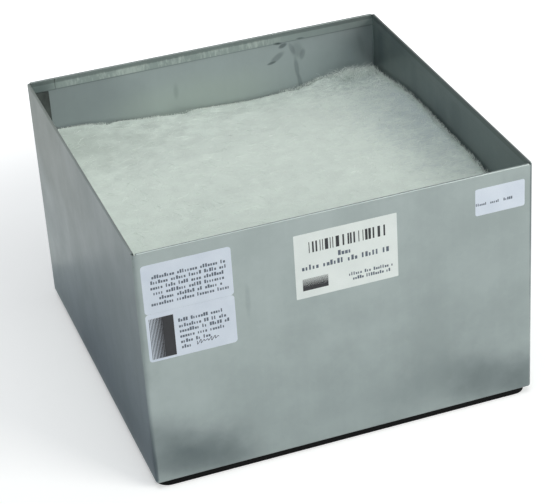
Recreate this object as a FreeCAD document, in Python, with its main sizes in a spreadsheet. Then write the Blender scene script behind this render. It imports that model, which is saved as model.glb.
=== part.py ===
"""Combined filter cartridge of a solder fume extractor, as a parametric FreeCAD document.

Millimetres. +Z is up, the base gasket stands on z = 0 and the Z axis runs through the middle of the casing.
The labelled wall faces -Y. Air enters at the open top, goes down through the wadding pad, the pleated
particle panel and the carbon bed, and leaves through the grille in the base.
"""

import FreeCAD, Part
import math
import os
import re

import Sketcher

# The driving dimensions: alias, value, meaning.
SIZES = (
    ("case_width", 293, "casing along X, outside"),
    ("case_depth", 293, "casing along Y, outside"),
    ("case_height", 188.5, "casing from its base flanges to the top of its hem"),
    ("gauge", 1, "casing sheet"),
    ("wall_bend", 2.5, "outer radius of the four upright bends"),
    ("base_bend", 1.6, "outer radius of the bends into the base flanges"),
    ("flange_land", 7, "base flange past the inner edge of the base gasket"),
    ("mitre_slit", 0.6, "gap between neighbouring base flanges"),
    ("hem_depth", 9, "folded rim, downwards"),
    ("hem_round", 0.8, "rounding along the top of the hem"),
    ("hem_setback", 0.3, "each hem ends this far before the upright bend"),
    ("lap_width", 15, "the wrap's end, lapped inside the back wall"),
    ("seam_slit", 0.4, "joint line outside the lap"),
    ("seam_tab_width", 20.7, "folded tab over the end of the lap"),
    ("seam_tab_depth", 9.7, "the same tab, downwards"),
    ("sealant_thick", 0.6, "mastic on the lap"),
    ("piece_gap", 0.3, "clearance between neighbours that don't touch"),
    ("lap_clearance", 0.4, "clearance between the mastic and what is stacked inside the walls"),
    ("gasket_inset", 2, "base gasket, from the casing's outside"),
    ("gasket_width", 25, "base gasket strip"),
    ("gasket_height", 5, "base gasket, free height"),
    ("gasket_corner", 10, "base gasket, outer corner radius"),
    ("gasket_inner_corner", 3, "base gasket, inner corner radius"),
    ("plate_gauge", 1, "sheet of the outlet and cover grilles"),
    ("grille_opening", 16, "side of a square opening in those grilles"),
    ("grille_pitch", 22, "from one opening to the next"),
    ("grille_land", 4, "least plain sheet between the base flange's edge and the openings"),
    ("scrim_thick", 1, "scrim cloth"),
    ("carbon_depth", 45, "carbon bed"),
    ("ledge_height", 15, "ledge, upright leg"),
    ("ledge_land", 3, "ledge shelf past the inner edge of the panel gasket"),
    ("ledge_gauge", 1, "ledge sheet"),
    ("panel_gasket_width", 15, "strip between the ledges and the particle panel"),
    ("panel_gasket_height", 4, "the same strip, upwards"),
    ("panel_height", 48, "particle panel"),
    ("panel_gauge", 1, "sheet of the panel's channels"),
    ("panel_lip", 15, "lip of the panel's channels"),
    ("guard_gauge", 1, "sheet of the face guards"),
    ("guard_opening", 22, "side of a square opening in the guards"),
    ("guard_pitch", 25, "from one opening to the next"),
    ("guard_land", 5, "least plain sheet between the channel's lip and the openings"),
    ("potting_thick", 6, "adhesive between the pack and the channels"),
    ("pleat_count", 34, "pleats across the pack"),
    ("pleat_sheet", 0.8, "pleated paper, measured along X"),
    ("bead_height", 1.5, "hot-melt bead over the pleat tips"),
    ("bead_width", 3, "the same bead, along Y"),
    ("bead_rows", 5, "rows of beads on each face of the pack"),
    ("pad_edge", 14, "wadding pad at its edges"),
    ("pad_crown", 18.7, "how much higher the pad is in the middle"),
    ("pad_shoulder", 60, "from the pad's edge to its flat top"),
    ("label_thick", 0.15, "paper and adhesive"),
    ("main_label_width", 76.2, ""),
    ("main_label_height", 50.8, ""),
    ("main_label_shift", 4.4, "from the middle of the wall, to the right"),
    ("main_label_drop", 14, "from the top of the hem"),
    ("main_label_corner", 0.6, ""),
    ("small_label_width", 38.1, ""),
    ("small_label_height", 21.2, ""),
    ("small_label_right", 6.5, "from the casing's right side"),
    ("small_label_drop", 10.7, ""),
    ("small_label_corner", 1.5, ""),
    ("side_label_width", 63.5, "both labels at the left"),
    ("side_label_height", 38.1, ""),
    ("side_label_left", 4.6, "from the casing's left side"),
    ("side_label_drop", 10.1, "upper of the two"),
    ("side_label_gap", 0.1, "between the two"),
    ("side_label_corner", 2.5, ""),
)

# What follows from them. Heights are above the floor.
DERIVED = {
    "inner_width": "case_width - 2 * gauge",
    "inner_depth": "case_depth - 2 * gauge",
    "stack_clearance": "gauge + sealant_thick + lap_clearance",
    "stack_width": "inner_width - 2 * stack_clearance",
    "stack_depth": "inner_depth - 2 * stack_clearance",
    "inner_bend": "max(wall_bend - gauge; gauge / 4)",
    "hem_thick": "2 * gauge",
    "hem_relief": "wall_bend + hem_setback",
    "base_flange": "gasket_inset + gasket_width + flange_land",
    "ledge_width": "stack_clearance + panel_gasket_width + ledge_land",
    "rim": "gasket_height + case_height",
    "outlet_grille_base": "gasket_height + gauge",
    "outlet_scrim_base": "outlet_grille_base + plate_gauge",
    "carbon_base": "outlet_scrim_base + scrim_thick",
    "cover_scrim_base": "carbon_base + carbon_depth",
    "cover_grille_base": "cover_scrim_base + scrim_thick",
    "ledge_base": "cover_grille_base + plate_gauge",
    "panel_gasket_base": "ledge_base + ledge_height",
    "panel_base": "panel_gasket_base + panel_gasket_height",
    "outlet_guard_base": "panel_base + panel_gauge",
    "pack_base": "outlet_guard_base + guard_gauge",
    "pack_height": "panel_height - 2 * panel_gauge - 2 * guard_gauge",
    "inlet_guard_base": "pack_base + pack_height",
    "pad_base": "panel_base + panel_height + piece_gap",
    "grille_margin": "base_flange - gauge - stack_clearance + grille_land",
    "guard_width": "stack_width - 2 * panel_gauge - 2 * piece_gap",
    "guard_depth": "stack_depth - 2 * panel_gauge - 2 * piece_gap",
    "guard_margin": "panel_lip - panel_gauge - piece_gap + guard_land",
    "potting_width": "stack_width - 2 * panel_gauge",
    "potting_depth": "stack_depth - 2 * panel_gauge",
    "pack_width": "potting_width - 2 * potting_thick",
    "pack_depth": "potting_depth - 2 * potting_thick",
    "pleat_pitch": "pack_width / pleat_count",
    "pleat_rise": "pack_height - 2 * bead_height",
    "pleat_drop": "pleat_sheet * 2 * pleat_rise / pleat_pitch",
}

# The four sides: name, turn about Z that carries "inwards" from +Y, and where the side's outer face is.
SIDES = {
    "front": (0, "0", "-stack_depth / 2"),
    "back": (180, "0", "stack_depth / 2"),
    "left": (-90, "-stack_width / 2", "0"),
    "right": (90, "stack_width / 2", "0"),
}

ALIASES = {alias for alias, _, _ in SIZES}
NEAR = 0.001  # two places this near each other are the same place

doc = FreeCAD.newDocument("fume_filter_cartridge")


# ---- the sheet and its expressions


def make_sheet():
    """The spreadsheet of driving dimensions, one alias a row."""
    sheet = doc.addObject("Spreadsheet::Sheet", "sizes")
    for row, (alias, value, meaning) in enumerate(SIZES, 1):
        sheet.set(f"A{row}", alias)
        sheet.set(f"B{row}", str(value))
        sheet.set(f"C{row}", meaning)
        sheet.setAlias(f"B{row}", alias)
    doc.recompute()
    return sheet


def expression(text):
    """The text with each alias as a cell of the sheet and each derived name written out."""

    def written_out(match):
        word = match.group()
        if word in DERIVED:
            return f"({expression(DERIVED[word])})"
        return f"sizes.{word}" if word in ALIASES else word

    return re.sub(r"[a-z_]+", written_out, text)


def bind(thing, **properties):
    """Tie properties of an object to expressions; Placement parts are written place_x and so on."""
    paths = {"place_x": "Placement.Base.x", "place_y": "Placement.Base.y", "place_z": "Placement.Base.z"}
    for name, text in properties.items():
        thing.setExpression(paths.get(name, name), expression(text))


# ---- sketches


def body(label, place_x="0", place_y="0", place_z="0", turn=0):
    """An empty body with its label and its place."""
    made = doc.addObject("PartDesign::Body", label)
    made.Label = label
    made.Placement = FreeCAD.Placement(FreeCAD.Vector(), FreeCAD.Rotation(FreeCAD.Vector(0, 0, 1), turn))
    bind(made, place_x=place_x, place_y=place_y, place_z=place_z)
    return made


def sketch(owner, name, role="XY_Plane", offset="0"):
    """A sketch on one of the body's own origin planes, or that far along the plane's normal."""
    made = owner.newObject("Sketcher::SketchObject", name)
    plane = next(p for p in owner.Origin.OriginFeatures if p.Role == role)
    made.AttachmentSupport = (plane, [""])
    made.MapMode = "FlatFace"
    made.setExpression(".AttachmentOffset.Base.z", expression(offset))
    return made


def outline(target, corners):
    """A closed polygon, fully constrained: each corner is a pair of expressions."""
    first = target.GeometryCount
    count = len(corners)
    turns = [2 * math.pi * i / count for i in range(count)]
    starts = [FreeCAD.Vector(math.cos(turn), math.sin(turn)) for turn in turns]
    for i in range(count):
        target.addGeometry(Part.LineSegment(starts[i], starts[(i + 1) % count]), False)
    for i, corner in enumerate(corners):
        following = first + (i + 1) % count
        target.addConstraint(Sketcher.Constraint("Coincident", first + i, 2, following, 1))
        for axis, start, text in zip("XY", starts[i], corner):
            distance = Sketcher.Constraint(f"Distance{axis}", -1, 1, first + i, 1, start)
            index = target.addConstraint(distance)
            target.setExpression(f"Constraints[{index}]", expression(text))


def rectangle(target, width, depth, middle_x="0", middle_y="0"):
    """A rectangle about a middle point."""
    left, right = f"{middle_x} - ({width}) / 2", f"{middle_x} + ({width}) / 2"
    low, high = f"{middle_y} - ({depth}) / 2", f"{middle_y} + ({depth}) / 2"
    outline(target, [(left, low), (right, low), (right, high), (left, high)])


# ---- features


def worked_out(feature):
    """The feature after a recompute, which must not have failed."""
    doc.recompute()
    if "Invalid" in feature.State or feature.Shape.isNull():
        raise ValueError(f"{feature.Name} failed")
    return feature


def pad(owner, profile, name, length, both_ways=False):
    """The profile thickened upwards, or evenly to both sides of its plane."""
    made = owner.newObject("PartDesign::Pad", name)
    made.Profile = profile
    made.SideType = "Symmetric" if both_ways else "One side"
    bind(made, Length=length)
    return worked_out(made)


def pocket(owner, profile, name):
    """The profile cut upwards, through all that is above its plane."""
    before = owner.Shape.Volume
    made = owner.newObject("PartDesign::Pocket", name)
    made.Profile = profile
    made.Type = "ThroughAll"
    made.Reversed = True
    worked_out(made)
    if made.Shape.Volume >= before:
        raise ValueError(f"{name} cuts nothing")
    return made


def fillet(owner, name, radius, wanted):
    """Round those edges of the body that wanted() accepts."""
    base = owner.Tip
    edges = [f"Edge{i}" for i, edge in enumerate(base.Shape.Edges, 1) if wanted(edge)]
    if not edges:
        raise ValueError(f"{name} finds no edge")
    made = owner.newObject("PartDesign::Fillet", name)
    made.Base = (base, edges)
    bind(made, Radius=radius)
    return worked_out(made)


def runs_along(axis):
    """A test for straight edges parallel to X, Y or Z."""
    direction = {"x": FreeCAD.Vector(1), "y": FreeCAD.Vector(0, 1), "z": FreeCAD.Vector(0, 0, 1)}[axis]

    def test(edge):
        if len(edge.Vertexes) < 2 or not isinstance(edge.Curve, Part.Line):
            return False
        along = (edge.Vertexes[1].Point - edge.Vertexes[0].Point).normalize()
        return abs(along.dot(direction)) > 0.999

    return test


def inside(owner):
    """A test for edges whose middle is inside the body's outline, seen from above, and not on it."""
    box = owner.Tip.Shape.BoundBox

    def test(edge):
        middle = edge.BoundBox.Center
        return abs(middle.x) < box.XMax - NEAR and abs(middle.y) < box.YMax - NEAR

    return test


# ---- the casing


def hem_section(outside, inwards, depth):
    """Section of a closed hem: a cap over the wall and a leaf down its inside."""
    leaf_out, leaf_in = f"{outside} + {inwards} * gauge", f"{outside} + {inwards} * hem_thick"
    wall_top = "case_height - gauge"
    return [
        (outside, wall_top),
        (outside, "case_height"),
        (leaf_in, "case_height"),
        (leaf_in, f"case_height - {depth}"),
        (leaf_out, f"case_height - {depth}"),
        (leaf_out, wall_top),
    ]


def make_casing():
    """The wrap: four walls, base flanges with mitred corners, hems and the lap at the back left."""
    casing = body("casing_wrap", place_z="gasket_height")
    upright = runs_along("z")

    walls = sketch(casing, "walls_outline")
    rectangle(walls, "case_width", "case_depth")
    pad(casing, walls, "walls", "case_height - gauge")
    fillet(casing, "wall_bends", "wall_bend", upright)
    fillet(casing, "base_bends", "min(base_bend; wall_bend * 0.9)", lambda edge: edge.BoundBox.ZMax < NEAR)

    cavity = sketch(casing, "cavity_outline", offset="gauge")
    rectangle(cavity, "inner_width", "inner_depth")
    pocket(casing, cavity, "cavity")
    in_cavity = inside(casing)
    fillet(
        casing,
        "inner_bends",
        "inner_bend",
        lambda edge: upright(edge) and in_cavity(edge),
    )

    mouth = sketch(casing, "outlet_outline")
    rectangle(mouth, "case_width - 2 * base_flange", "case_depth - 2 * base_flange")
    pocket(casing, mouth, "outlet")
    slits = sketch(casing, "mitre_outlines")
    for side_x in (-1, 1):
        for side_y in (-1, 1):
            mitre_outline(slits, side_x, side_y)
    pocket(casing, slits, "mitres")

    length_x, length_y = "case_width - 2 * hem_relief", "case_depth - 2 * hem_relief"
    back_start = "-inner_width / 2 + seam_tab_width + piece_gap"
    back_end = "case_width / 2 - hem_relief"
    hems = (
        ("front_hem", "YZ_Plane", "-case_depth / 2", 1, length_x, "0"),
        ("back_hem", "YZ_Plane", "case_depth / 2", -1, f"{back_end} - ({back_start})",
         f"({back_end} + {back_start}) / 2"),
        ("left_hem", "XZ_Plane", "-case_width / 2", 1, length_y, "0"),
        ("right_hem", "XZ_Plane", "case_width / 2", -1, length_y, "0"),
    )
    for name, plane, outside, inwards, length, shift in hems:
        section = sketch(casing, f"{name}_section", plane, offset=shift)
        outline(section, hem_section(outside, inwards, "hem_depth"))
        pad(casing, section, name, length, both_ways=True)
    top = casing.Tip.Shape.BoundBox.ZMax
    fillet(
        casing,
        "hem_rounding",
        "min(hem_round; gauge * 0.9)",
        lambda edge: edge.BoundBox.ZMin > top - NEAR and edge.Length > 2.5 * float(sheet.gauge),
    )

    slit = sketch(casing, "slit_outline", offset="max(gauge; base_bend)")
    slit_x, lap_x = "-case_width / 2 + wall_bend + seam_slit / 2", "-inner_width / 2 + lap_width / 2"
    rectangle(slit, "seam_slit", "gauge", slit_x, "case_depth / 2 - gauge / 2")
    pocket(casing, slit, "seam")
    lap = sketch(casing, "lap_outline", offset="gauge")
    rectangle(lap, "lap_width", "gauge", lap_x, "inner_depth / 2 - gauge / 2")
    pad(casing, lap, "lap", "case_height - gauge - seam_tab_depth - piece_gap")


def mitre_outline(target, side_x, side_y):
    """The slit between two base flanges: a thin slanted strip from the outlet's corner outwards."""
    half_x, half_y = "(case_width / 2 - base_flange)", "(case_depth / 2 - base_flange)"
    length = "(base_flange - wall_bend - base_bend)"
    along = [("-mitre_slit", "0"), ("0", "-mitre_slit"), (length, f"{length} - mitre_slit"),
             (f"{length} - mitre_slit", length)]
    outline(target, [(f"{side_x} * ({half_x} + {x})", f"{side_y} * ({half_y} + {y})") for x, y in along])


def make_seam_tab():
    """The folded tab over the end of the lap, in line with the back hem."""
    width = "(seam_tab_width - inner_bend)"
    tab = body(
        "seam_tab",
        place_x=f"-inner_width / 2 + inner_bend + {width} / 2",
        place_z="gasket_height",
    )
    section = sketch(tab, "tab_section", "YZ_Plane")
    outline(section, hem_section("case_depth / 2", -1, "seam_tab_depth"))
    pad(tab, section, "tab", width, both_ways=True)
    along = runs_along("x")
    top = tab.Tip.Shape.BoundBox.ZMax
    fillet(
        tab,
        "tab_rounding",
        "min(hem_round; gauge * 0.9)",
        lambda edge: along(edge) and edge.BoundBox.ZMin > top - NEAR,
    )


def make_seam_sealant():
    """Mastic over the lap, from the base flange up to the tab."""
    width = "(lap_width - piece_gap)"
    bead = body(
        "seam_sealant",
        place_x=f"-inner_width / 2 + piece_gap + {width} / 2",
        place_y="inner_depth / 2 - gauge - sealant_thick / 2",
        place_z="gasket_height + gauge",
    )
    strip = sketch(bead, "strip_outline")
    rectangle(strip, width, "sealant_thick")
    pad(bead, strip, "strip", "case_height - gauge - seam_tab_depth - piece_gap")


# ---- rings, plates and slabs


def ring(label, width, depth, strip, height, base, corner=None, inner_corner=None):
    """A square ring, with rounded corners where radii are given."""
    made = body(label, place_z=base)
    face = sketch(made, f"{label}_outline")
    rectangle(face, width, depth)
    rectangle(face, f"{width} - 2 * ({strip})", f"{depth} - 2 * ({strip})")
    pad(made, face, f"{label}_strip", height)
    if corner:
        upright, in_hole = runs_along("z"), inside(made)
        fillet(made, f"{label}_corners", corner, lambda edge: upright(edge) and not in_hole(edge))
        fillet(made, f"{label}_inner_corners", inner_corner, lambda edge: upright(edge) and in_hole(edge))


def perforated_plate(label, width, depth, thickness, base, opening, pitch, margin):
    """A plate with a centred grid of square openings, as many as fit inside the margin."""
    made = body(label, place_z=base)
    face = sketch(made, f"{label}_outline")
    rectangle(face, width, depth)
    pad(made, face, f"{label}_plate", thickness)
    counts = {
        "H_Axis": f"floor(({width} - 2 * {margin} - {opening}) / {pitch}) + 1",
        "V_Axis": f"floor(({depth} - 2 * {margin} - {opening}) / {pitch}) + 1",
    }
    first = sketch(made, f"{label}_first_opening")
    rectangle(first, opening, opening, *(f"-({n} - 1) * {pitch} / 2" for n in counts.values()))
    cut = pocket(made, first, f"{label}_opening")
    grid = made.newObject("PartDesign::MultiTransform", f"{label}_openings")
    steps = []
    for axis, count in counts.items():
        step = made.newObject("PartDesign::LinearPattern", f"{label}_{axis.lower()}")
        step.Direction = (first, [axis])
        step.Mode = "Spacing"
        bind(step, Offset=pitch, Occurrences=count)
        steps.append(step)
    grid.Originals = [cut]
    grid.Transformations = steps
    made.Tip = grid
    worked_out(grid)


def slab(label, thickness, base):
    """A plain layer that fills the casing from wall to wall."""
    made = doc.addObject("Part::Box", label)
    made.Label = label
    bind(
        made,
        Length="stack_width",
        Width="stack_depth",
        Height=thickness,
        place_x="-stack_width / 2",
        place_y="-stack_depth / 2",
        place_z=base,
    )


# ---- ledges and the particle panel


def make_ledges():
    """Four angles on the walls: the leg stands on the cover grille and the shelf carries the panel."""
    seam = "(lap_width + piece_gap)"
    between = "inner_depth - 2 * ledge_width - 2 * piece_gap"
    spans = {
        "front": ("inner_width - 2 * inner_bend", "0"),
        "back": (f"inner_width - {seam} - inner_bend", f"({seam} - inner_bend) / 2"),
        "left": (between, "0"),
        "right": (between, "0"),
    }
    for side, (length, shift) in spans.items():
        turn, place_x, place_y = SIDES[side]
        wall_x, wall_y = (text.replace("stack", "inner") for text in (place_x, place_y))
        made = body(f"ledge_{side}", f"{wall_x} + {shift}", wall_y, "ledge_base", turn)
        section = sketch(made, f"ledge_{side}_section", "YZ_Plane")
        outline(
            section,
            [
                ("0", "0"),
                ("ledge_gauge", "0"),
                ("ledge_gauge", "ledge_height - ledge_gauge"),
                ("ledge_width", "ledge_height - ledge_gauge"),
                ("ledge_width", "ledge_height"),
                ("0", "ledge_height"),
            ],
        )
        pad(made, section, f"ledge_{side}_angle", length, both_ways=True)


def make_panel_sides():
    """Four channels with mitred ends, open towards the pack."""
    for side, (turn, place_x, place_y) in SIDES.items():
        length = "stack_width" if side in ("front", "back") else "stack_depth"
        made = body(f"panel_side_{side}", place_x, place_y, "panel_base", turn)
        section = sketch(made, f"panel_{side}_section", "YZ_Plane")
        outline(
            section,
            [
                ("0", "0"),
                ("panel_lip", "0"),
                ("panel_lip", "panel_gauge"),
                ("panel_gauge", "panel_gauge"),
                ("panel_gauge", "panel_height - panel_gauge"),
                ("panel_lip", "panel_height - panel_gauge"),
                ("panel_lip", "panel_height"),
                ("0", "panel_height"),
            ],
        )
        pad(made, section, f"panel_{side}_channel", length, both_ways=True)
        ends = sketch(made, f"panel_{side}_ends")
        past = "panel_gauge"
        for end in (-1, 1):
            start = f"{length} / 2 - piece_gap / 2"
            outline(
                ends,
                [
                    (f"{end} * ({start} + {past})", f"-{past}"),
                    (f"{end} * ({length} / 2 + 2 * {past})", f"-{past}"),
                    (f"{end} * ({length} / 2 + 2 * {past})", f"panel_lip + {past}"),
                    (f"{end} * ({start} - panel_lip - {past})", f"panel_lip + {past}"),
                ],
            )
        pocket(made, ends, f"panel_{side}_mitres")


def make_pleats():
    """The folded paper: one fold, repeated across the pack."""
    pleats = body("pleated_media", place_z="pack_base + bead_height")
    fold = sketch(pleats, "fold_section", "XZ_Plane")
    left, middle, right = (f"-pack_width / 2 + {n} * pleat_pitch" for n in ("0", "0.5", "1"))
    outline(
        fold,
        [
            (left, "0"),
            (middle, "pleat_rise - pleat_drop"),
            (right, "0"),
            (right, "pleat_drop"),
            (middle, "pleat_rise"),
            (left, "pleat_drop"),
        ],
    )
    first = pad(pleats, fold, "fold", "pack_depth", both_ways=True)
    folds = pleats.newObject("PartDesign::LinearPattern", "folds")
    folds.Originals = [first]
    folds.Direction = (fold, ["H_Axis"])
    folds.Mode = "Spacing"
    bind(folds, Offset="pleat_pitch", Occurrences="pleat_count")
    pleats.Tip = folds
    worked_out(folds)


def make_separators():
    """Rows of hot-melt beads that hold the pleat tips apart, on both faces of the pack."""
    rows = int(sheet.bead_rows)
    beads = []
    for row in range(1, rows + 1):
        for face, base in (("lower", "pack_base"), ("upper", "pack_base + pack_height - bead_height")):
            bead = doc.addObject("Part::Box", f"{face}_bead_{row}")
            bind(
                bead,
                Length="pack_width",
                Width="bead_width",
                Height="bead_height",
                place_x="-pack_width / 2",
                place_y=f"pack_depth * ({row} / (bead_rows + 1) - 0.5) - bead_width / 2",
                place_z=base,
            )
            beads.append(bead)
    group = doc.addObject("Part::Compound", "pleat_separators")
    group.Label = "pleat_separators"
    group.Links = beads
    doc.recompute()


# ---- the pad and the labels


def make_pad():
    """The loose fibre pad: full size at its edges and crowned in the middle."""
    wadding = body("wadding_pad", place_z="pad_base")
    sole = sketch(wadding, "pad_outline")
    rectangle(sole, "stack_width", "stack_depth")
    pad(wadding, sole, "pad_sides", "pad_edge")
    shoulder = sketch(wadding, "shoulder_outline", offset="pad_edge")
    rectangle(shoulder, "stack_width", "stack_depth")
    top = sketch(wadding, "top_outline", offset="pad_edge + pad_crown")
    rectangle(top, "stack_width - 2 * pad_shoulder", "stack_depth - 2 * pad_shoulder")
    crown = wadding.newObject("PartDesign::AdditiveLoft", "crown")
    crown.Profile = shoulder
    crown.Sections = [top]
    worked_out(crown)


def make_label(label, size, middle, drop):
    """A paper label on the front wall: its middle along X, and how far its top is below the rim."""
    width, height = f"{size}_label_width", f"{size}_label_height"
    made = body(
        label,
        place_x=middle,
        place_y="-case_depth / 2 - label_thick / 2",
        place_z=f"rim - ({drop}) - {height}",
    )
    foot = sketch(made, f"{label}_foot")
    rectangle(foot, width, "label_thick")
    pad(made, foot, f"{label}_paper", height)
    fillet(made, f"{label}_corners", f"{size}_label_corner", runs_along("y"))


# ---- all of it


def make_all():
    """Every sub-part, from the outside in and from the base up."""
    make_casing()
    make_seam_tab()
    make_seam_sealant()
    ring(
        "base_gasket",
        "case_width - 2 * gasket_inset",
        "case_depth - 2 * gasket_inset",
        "gasket_width",
        "gasket_height",
        "0",
        "gasket_corner",
        "gasket_inner_corner",
    )
    grille = ("grille_opening", "grille_pitch", "grille_margin")
    perforated_plate(
        "outlet_grille", "stack_width", "stack_depth", "plate_gauge", "outlet_grille_base", *grille
    )
    perforated_plate(
        "carbon_cover_grille", "stack_width", "stack_depth", "plate_gauge", "cover_grille_base", *grille
    )
    slab("outlet_scrim", "scrim_thick", "outlet_scrim_base")
    slab("carbon_bed", "carbon_depth", "carbon_base")
    slab("carbon_cover_scrim", "scrim_thick", "cover_scrim_base")
    make_ledges()
    ring(
        "panel_gasket", "stack_width", "stack_depth", "panel_gasket_width", "panel_gasket_height",
        "panel_gasket_base",
    )
    make_panel_sides()
    ring("pack_potting", "potting_width", "potting_depth", "potting_thick", "pack_height", "pack_base")
    guard = ("guard_opening", "guard_pitch", "guard_margin")
    perforated_plate(
        "panel_outlet_guard", "guard_width", "guard_depth", "guard_gauge", "outlet_guard_base", *guard
    )
    perforated_plate(
        "panel_inlet_guard", "guard_width", "guard_depth", "guard_gauge", "inlet_guard_base", *guard
    )
    make_pleats()
    make_separators()
    make_pad()
    right_end = "case_width / 2 - small_label_right - small_label_width / 2"
    left_end = "-case_width / 2 + side_label_left + side_label_width / 2"
    below = "side_label_drop + side_label_height + side_label_gap"
    make_label("main_label", "main", "main_label_shift", "main_label_drop")
    make_label("small_label", "small", right_end, "small_label_drop")
    make_label("upper_side_label", "side", left_end, "side_label_drop")
    make_label("lower_side_label", "side", left_end, below)


def sub_parts():
    """The objects that are pieces of the cartridge, by name."""
    linked = {bead for group in doc.Objects if group.isDerivedFrom("Part::Compound") for bead in group.Links}
    kinds = ("PartDesign::Body", "Part::Box", "Part::Compound")
    return {piece.Label: piece for piece in doc.Objects if piece.TypeId in kinds and piece not in linked}


def check(pieces):
    """Stop if any object failed or any piece has a bad shape."""
    for thing in doc.Objects:
        if "Invalid" in thing.State or "Error" in thing.State:
            raise ValueError(f"{thing.Label}: {thing.State}")
    for label, piece in pieces.items():
        if piece.Shape.isNull() or not piece.Shape.isValid() or not piece.Shape.Solids:
            raise ValueError(f"{label} has no valid shape")


def write(pieces):
    """One STEP file a piece."""
    os.makedirs("parts", exist_ok=True)
    for label, piece in pieces.items():
        piece.Shape.exportStep(f"parts/{label}.step")
        print(f"{label}: {len(piece.Shape.Solids)} solid(s), {piece.Shape.Volume / 1000:.1f} cm3")


sheet = make_sheet()
make_all()
doc.recompute()
PIECES = sub_parts()
check(PIECES)
write(PIECES)
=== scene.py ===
"""Combined filter cartridge of a bench fume extractor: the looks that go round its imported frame.

Everything is in metres in the row frame: the origin is the centre of the gasket's underside, +Z is up and the
labelled wall faces -Y. A value whose name ends in _mm is in millimetres, and is turned to metres where it is
used.
"""

import logging
import math
from collections.abc import Sequence
from dataclasses import dataclass
from enum import Enum
from typing import Any

import bpy
import numpy as np
from bpy.types import Material, Mesh, NodeSocket, NodeTree, Object
from mathutils import Matrix, Vector
from numpy.random import Generator, default_rng


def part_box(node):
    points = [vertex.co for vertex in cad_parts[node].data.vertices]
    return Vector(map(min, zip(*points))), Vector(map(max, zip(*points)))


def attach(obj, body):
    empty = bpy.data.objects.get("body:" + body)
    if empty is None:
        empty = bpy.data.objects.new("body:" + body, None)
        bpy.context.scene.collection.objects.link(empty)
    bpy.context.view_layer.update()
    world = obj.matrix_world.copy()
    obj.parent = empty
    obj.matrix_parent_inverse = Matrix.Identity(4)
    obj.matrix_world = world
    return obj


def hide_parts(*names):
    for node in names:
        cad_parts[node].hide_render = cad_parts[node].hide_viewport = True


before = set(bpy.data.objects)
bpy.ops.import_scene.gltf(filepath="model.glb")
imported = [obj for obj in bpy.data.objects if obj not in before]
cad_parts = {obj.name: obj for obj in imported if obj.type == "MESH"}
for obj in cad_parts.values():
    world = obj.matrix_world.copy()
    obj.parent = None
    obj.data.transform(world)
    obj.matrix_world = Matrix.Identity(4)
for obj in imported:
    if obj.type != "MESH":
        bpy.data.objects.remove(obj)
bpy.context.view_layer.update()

Pair = tuple[float, float]
Triple = tuple[float, float, float]
Four = tuple[float, float, float, float]

log = logging.getLogger("filter_cartridge")

MM = 0.001
CARTRIDGE = "cartridge"
PAD = "pad"
SIDES = ("front", "back", "left", "right")
TINY = 1e-9

# How thick a label's paper and its ink are, and the gap that keeps their faces apart.
PAPER_MM = 0.10
INK_MM = 0.02
INK_GAP_MM = 0.002

# What several kinds of node are set to.
RGBA = {"data_type": "RGBA"}
SMOOTHSTEP = {"interpolation_type": "SMOOTHSTEP"}
MULTIPLY = {"operation": "MULTIPLY"}
MULTIPLY_ADD = {"operation": "MULTIPLY_ADD"}
MAXIMUM = {"operation": "MAXIMUM"}
LENGTH = {"operation": "LENGTH"}


# ---------------------------------------------------------------- colours, nodes and meshes


def linear(code: str) -> Four:
    """Turns an sRGB hex colour to the linear colour that a shader socket takes.

    Args:
        code: the colour, such as "#9AA6A4".

    Returns:
        Red, green, blue and an alpha of 1.
    """
    parts = [int(code[i : i + 2], 16) / 255 for i in (1, 3, 5)]
    red, green, blue = (c / 12.92 if c <= 0.04045 else ((c + 0.055) / 1.055) ** 2.4 for c in parts)
    return (red, green, blue, 1.0)


def add(
    tree: NodeTree,
    kind: str,
    settings: dict[str, Any] | None = None,
    inputs: dict[str | int, Any] | Sequence[Any] = (),
    output: str | int = 0,
) -> NodeSocket | None:
    """Adds one shader node with its settings and links.

    Args:
        tree: the material's or world's node tree.
        kind: the node's type name after "ShaderNode".
        settings: its options by attribute name.
        inputs: what its input sockets get, by name or number or simply in order: each another node's output
            socket, or a value.
        output: the output socket to hand back, by name or number.

    Returns:
        That output socket, or None for a node without outputs.
    """
    made = tree.nodes.new(f"ShaderNode{kind}")
    for name, value in (settings or {}).items():
        setattr(made, name, value)
    for key, value in inputs.items() if isinstance(inputs, dict) else enumerate(inputs):
        if isinstance(value, NodeSocket):
            tree.links.new(value, made.inputs[key])
        else:
            made.inputs[key].default_value = value
    return made.outputs[output] if len(made.outputs) else None


def open_material(name: str) -> tuple[Material, NodeTree, NodeSocket]:
    """Starts an empty node material.

    Args:
        name: the finish's own name.

    Returns:
        The material, its tree, and its Object coordinates.
    """
    material = bpy.data.materials.new(name)
    material.use_nodes = True
    material.node_tree.nodes.clear()
    place = add(material.node_tree, "TexCoord", output="Object")
    return material, material.node_tree, place


def dress(nodes: Sequence[str], material: Material) -> None:
    """Gives CAD nodes a finish through their objects' material slots.

    Args:
        nodes: the CAD nodes' names.
        material: the finish.
    """
    for name in nodes:
        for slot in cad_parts[name].material_slots:
            slot.link = "OBJECT"
            slot.material = material
        log.info("dressed %s in %s", name, material.name)


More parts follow.
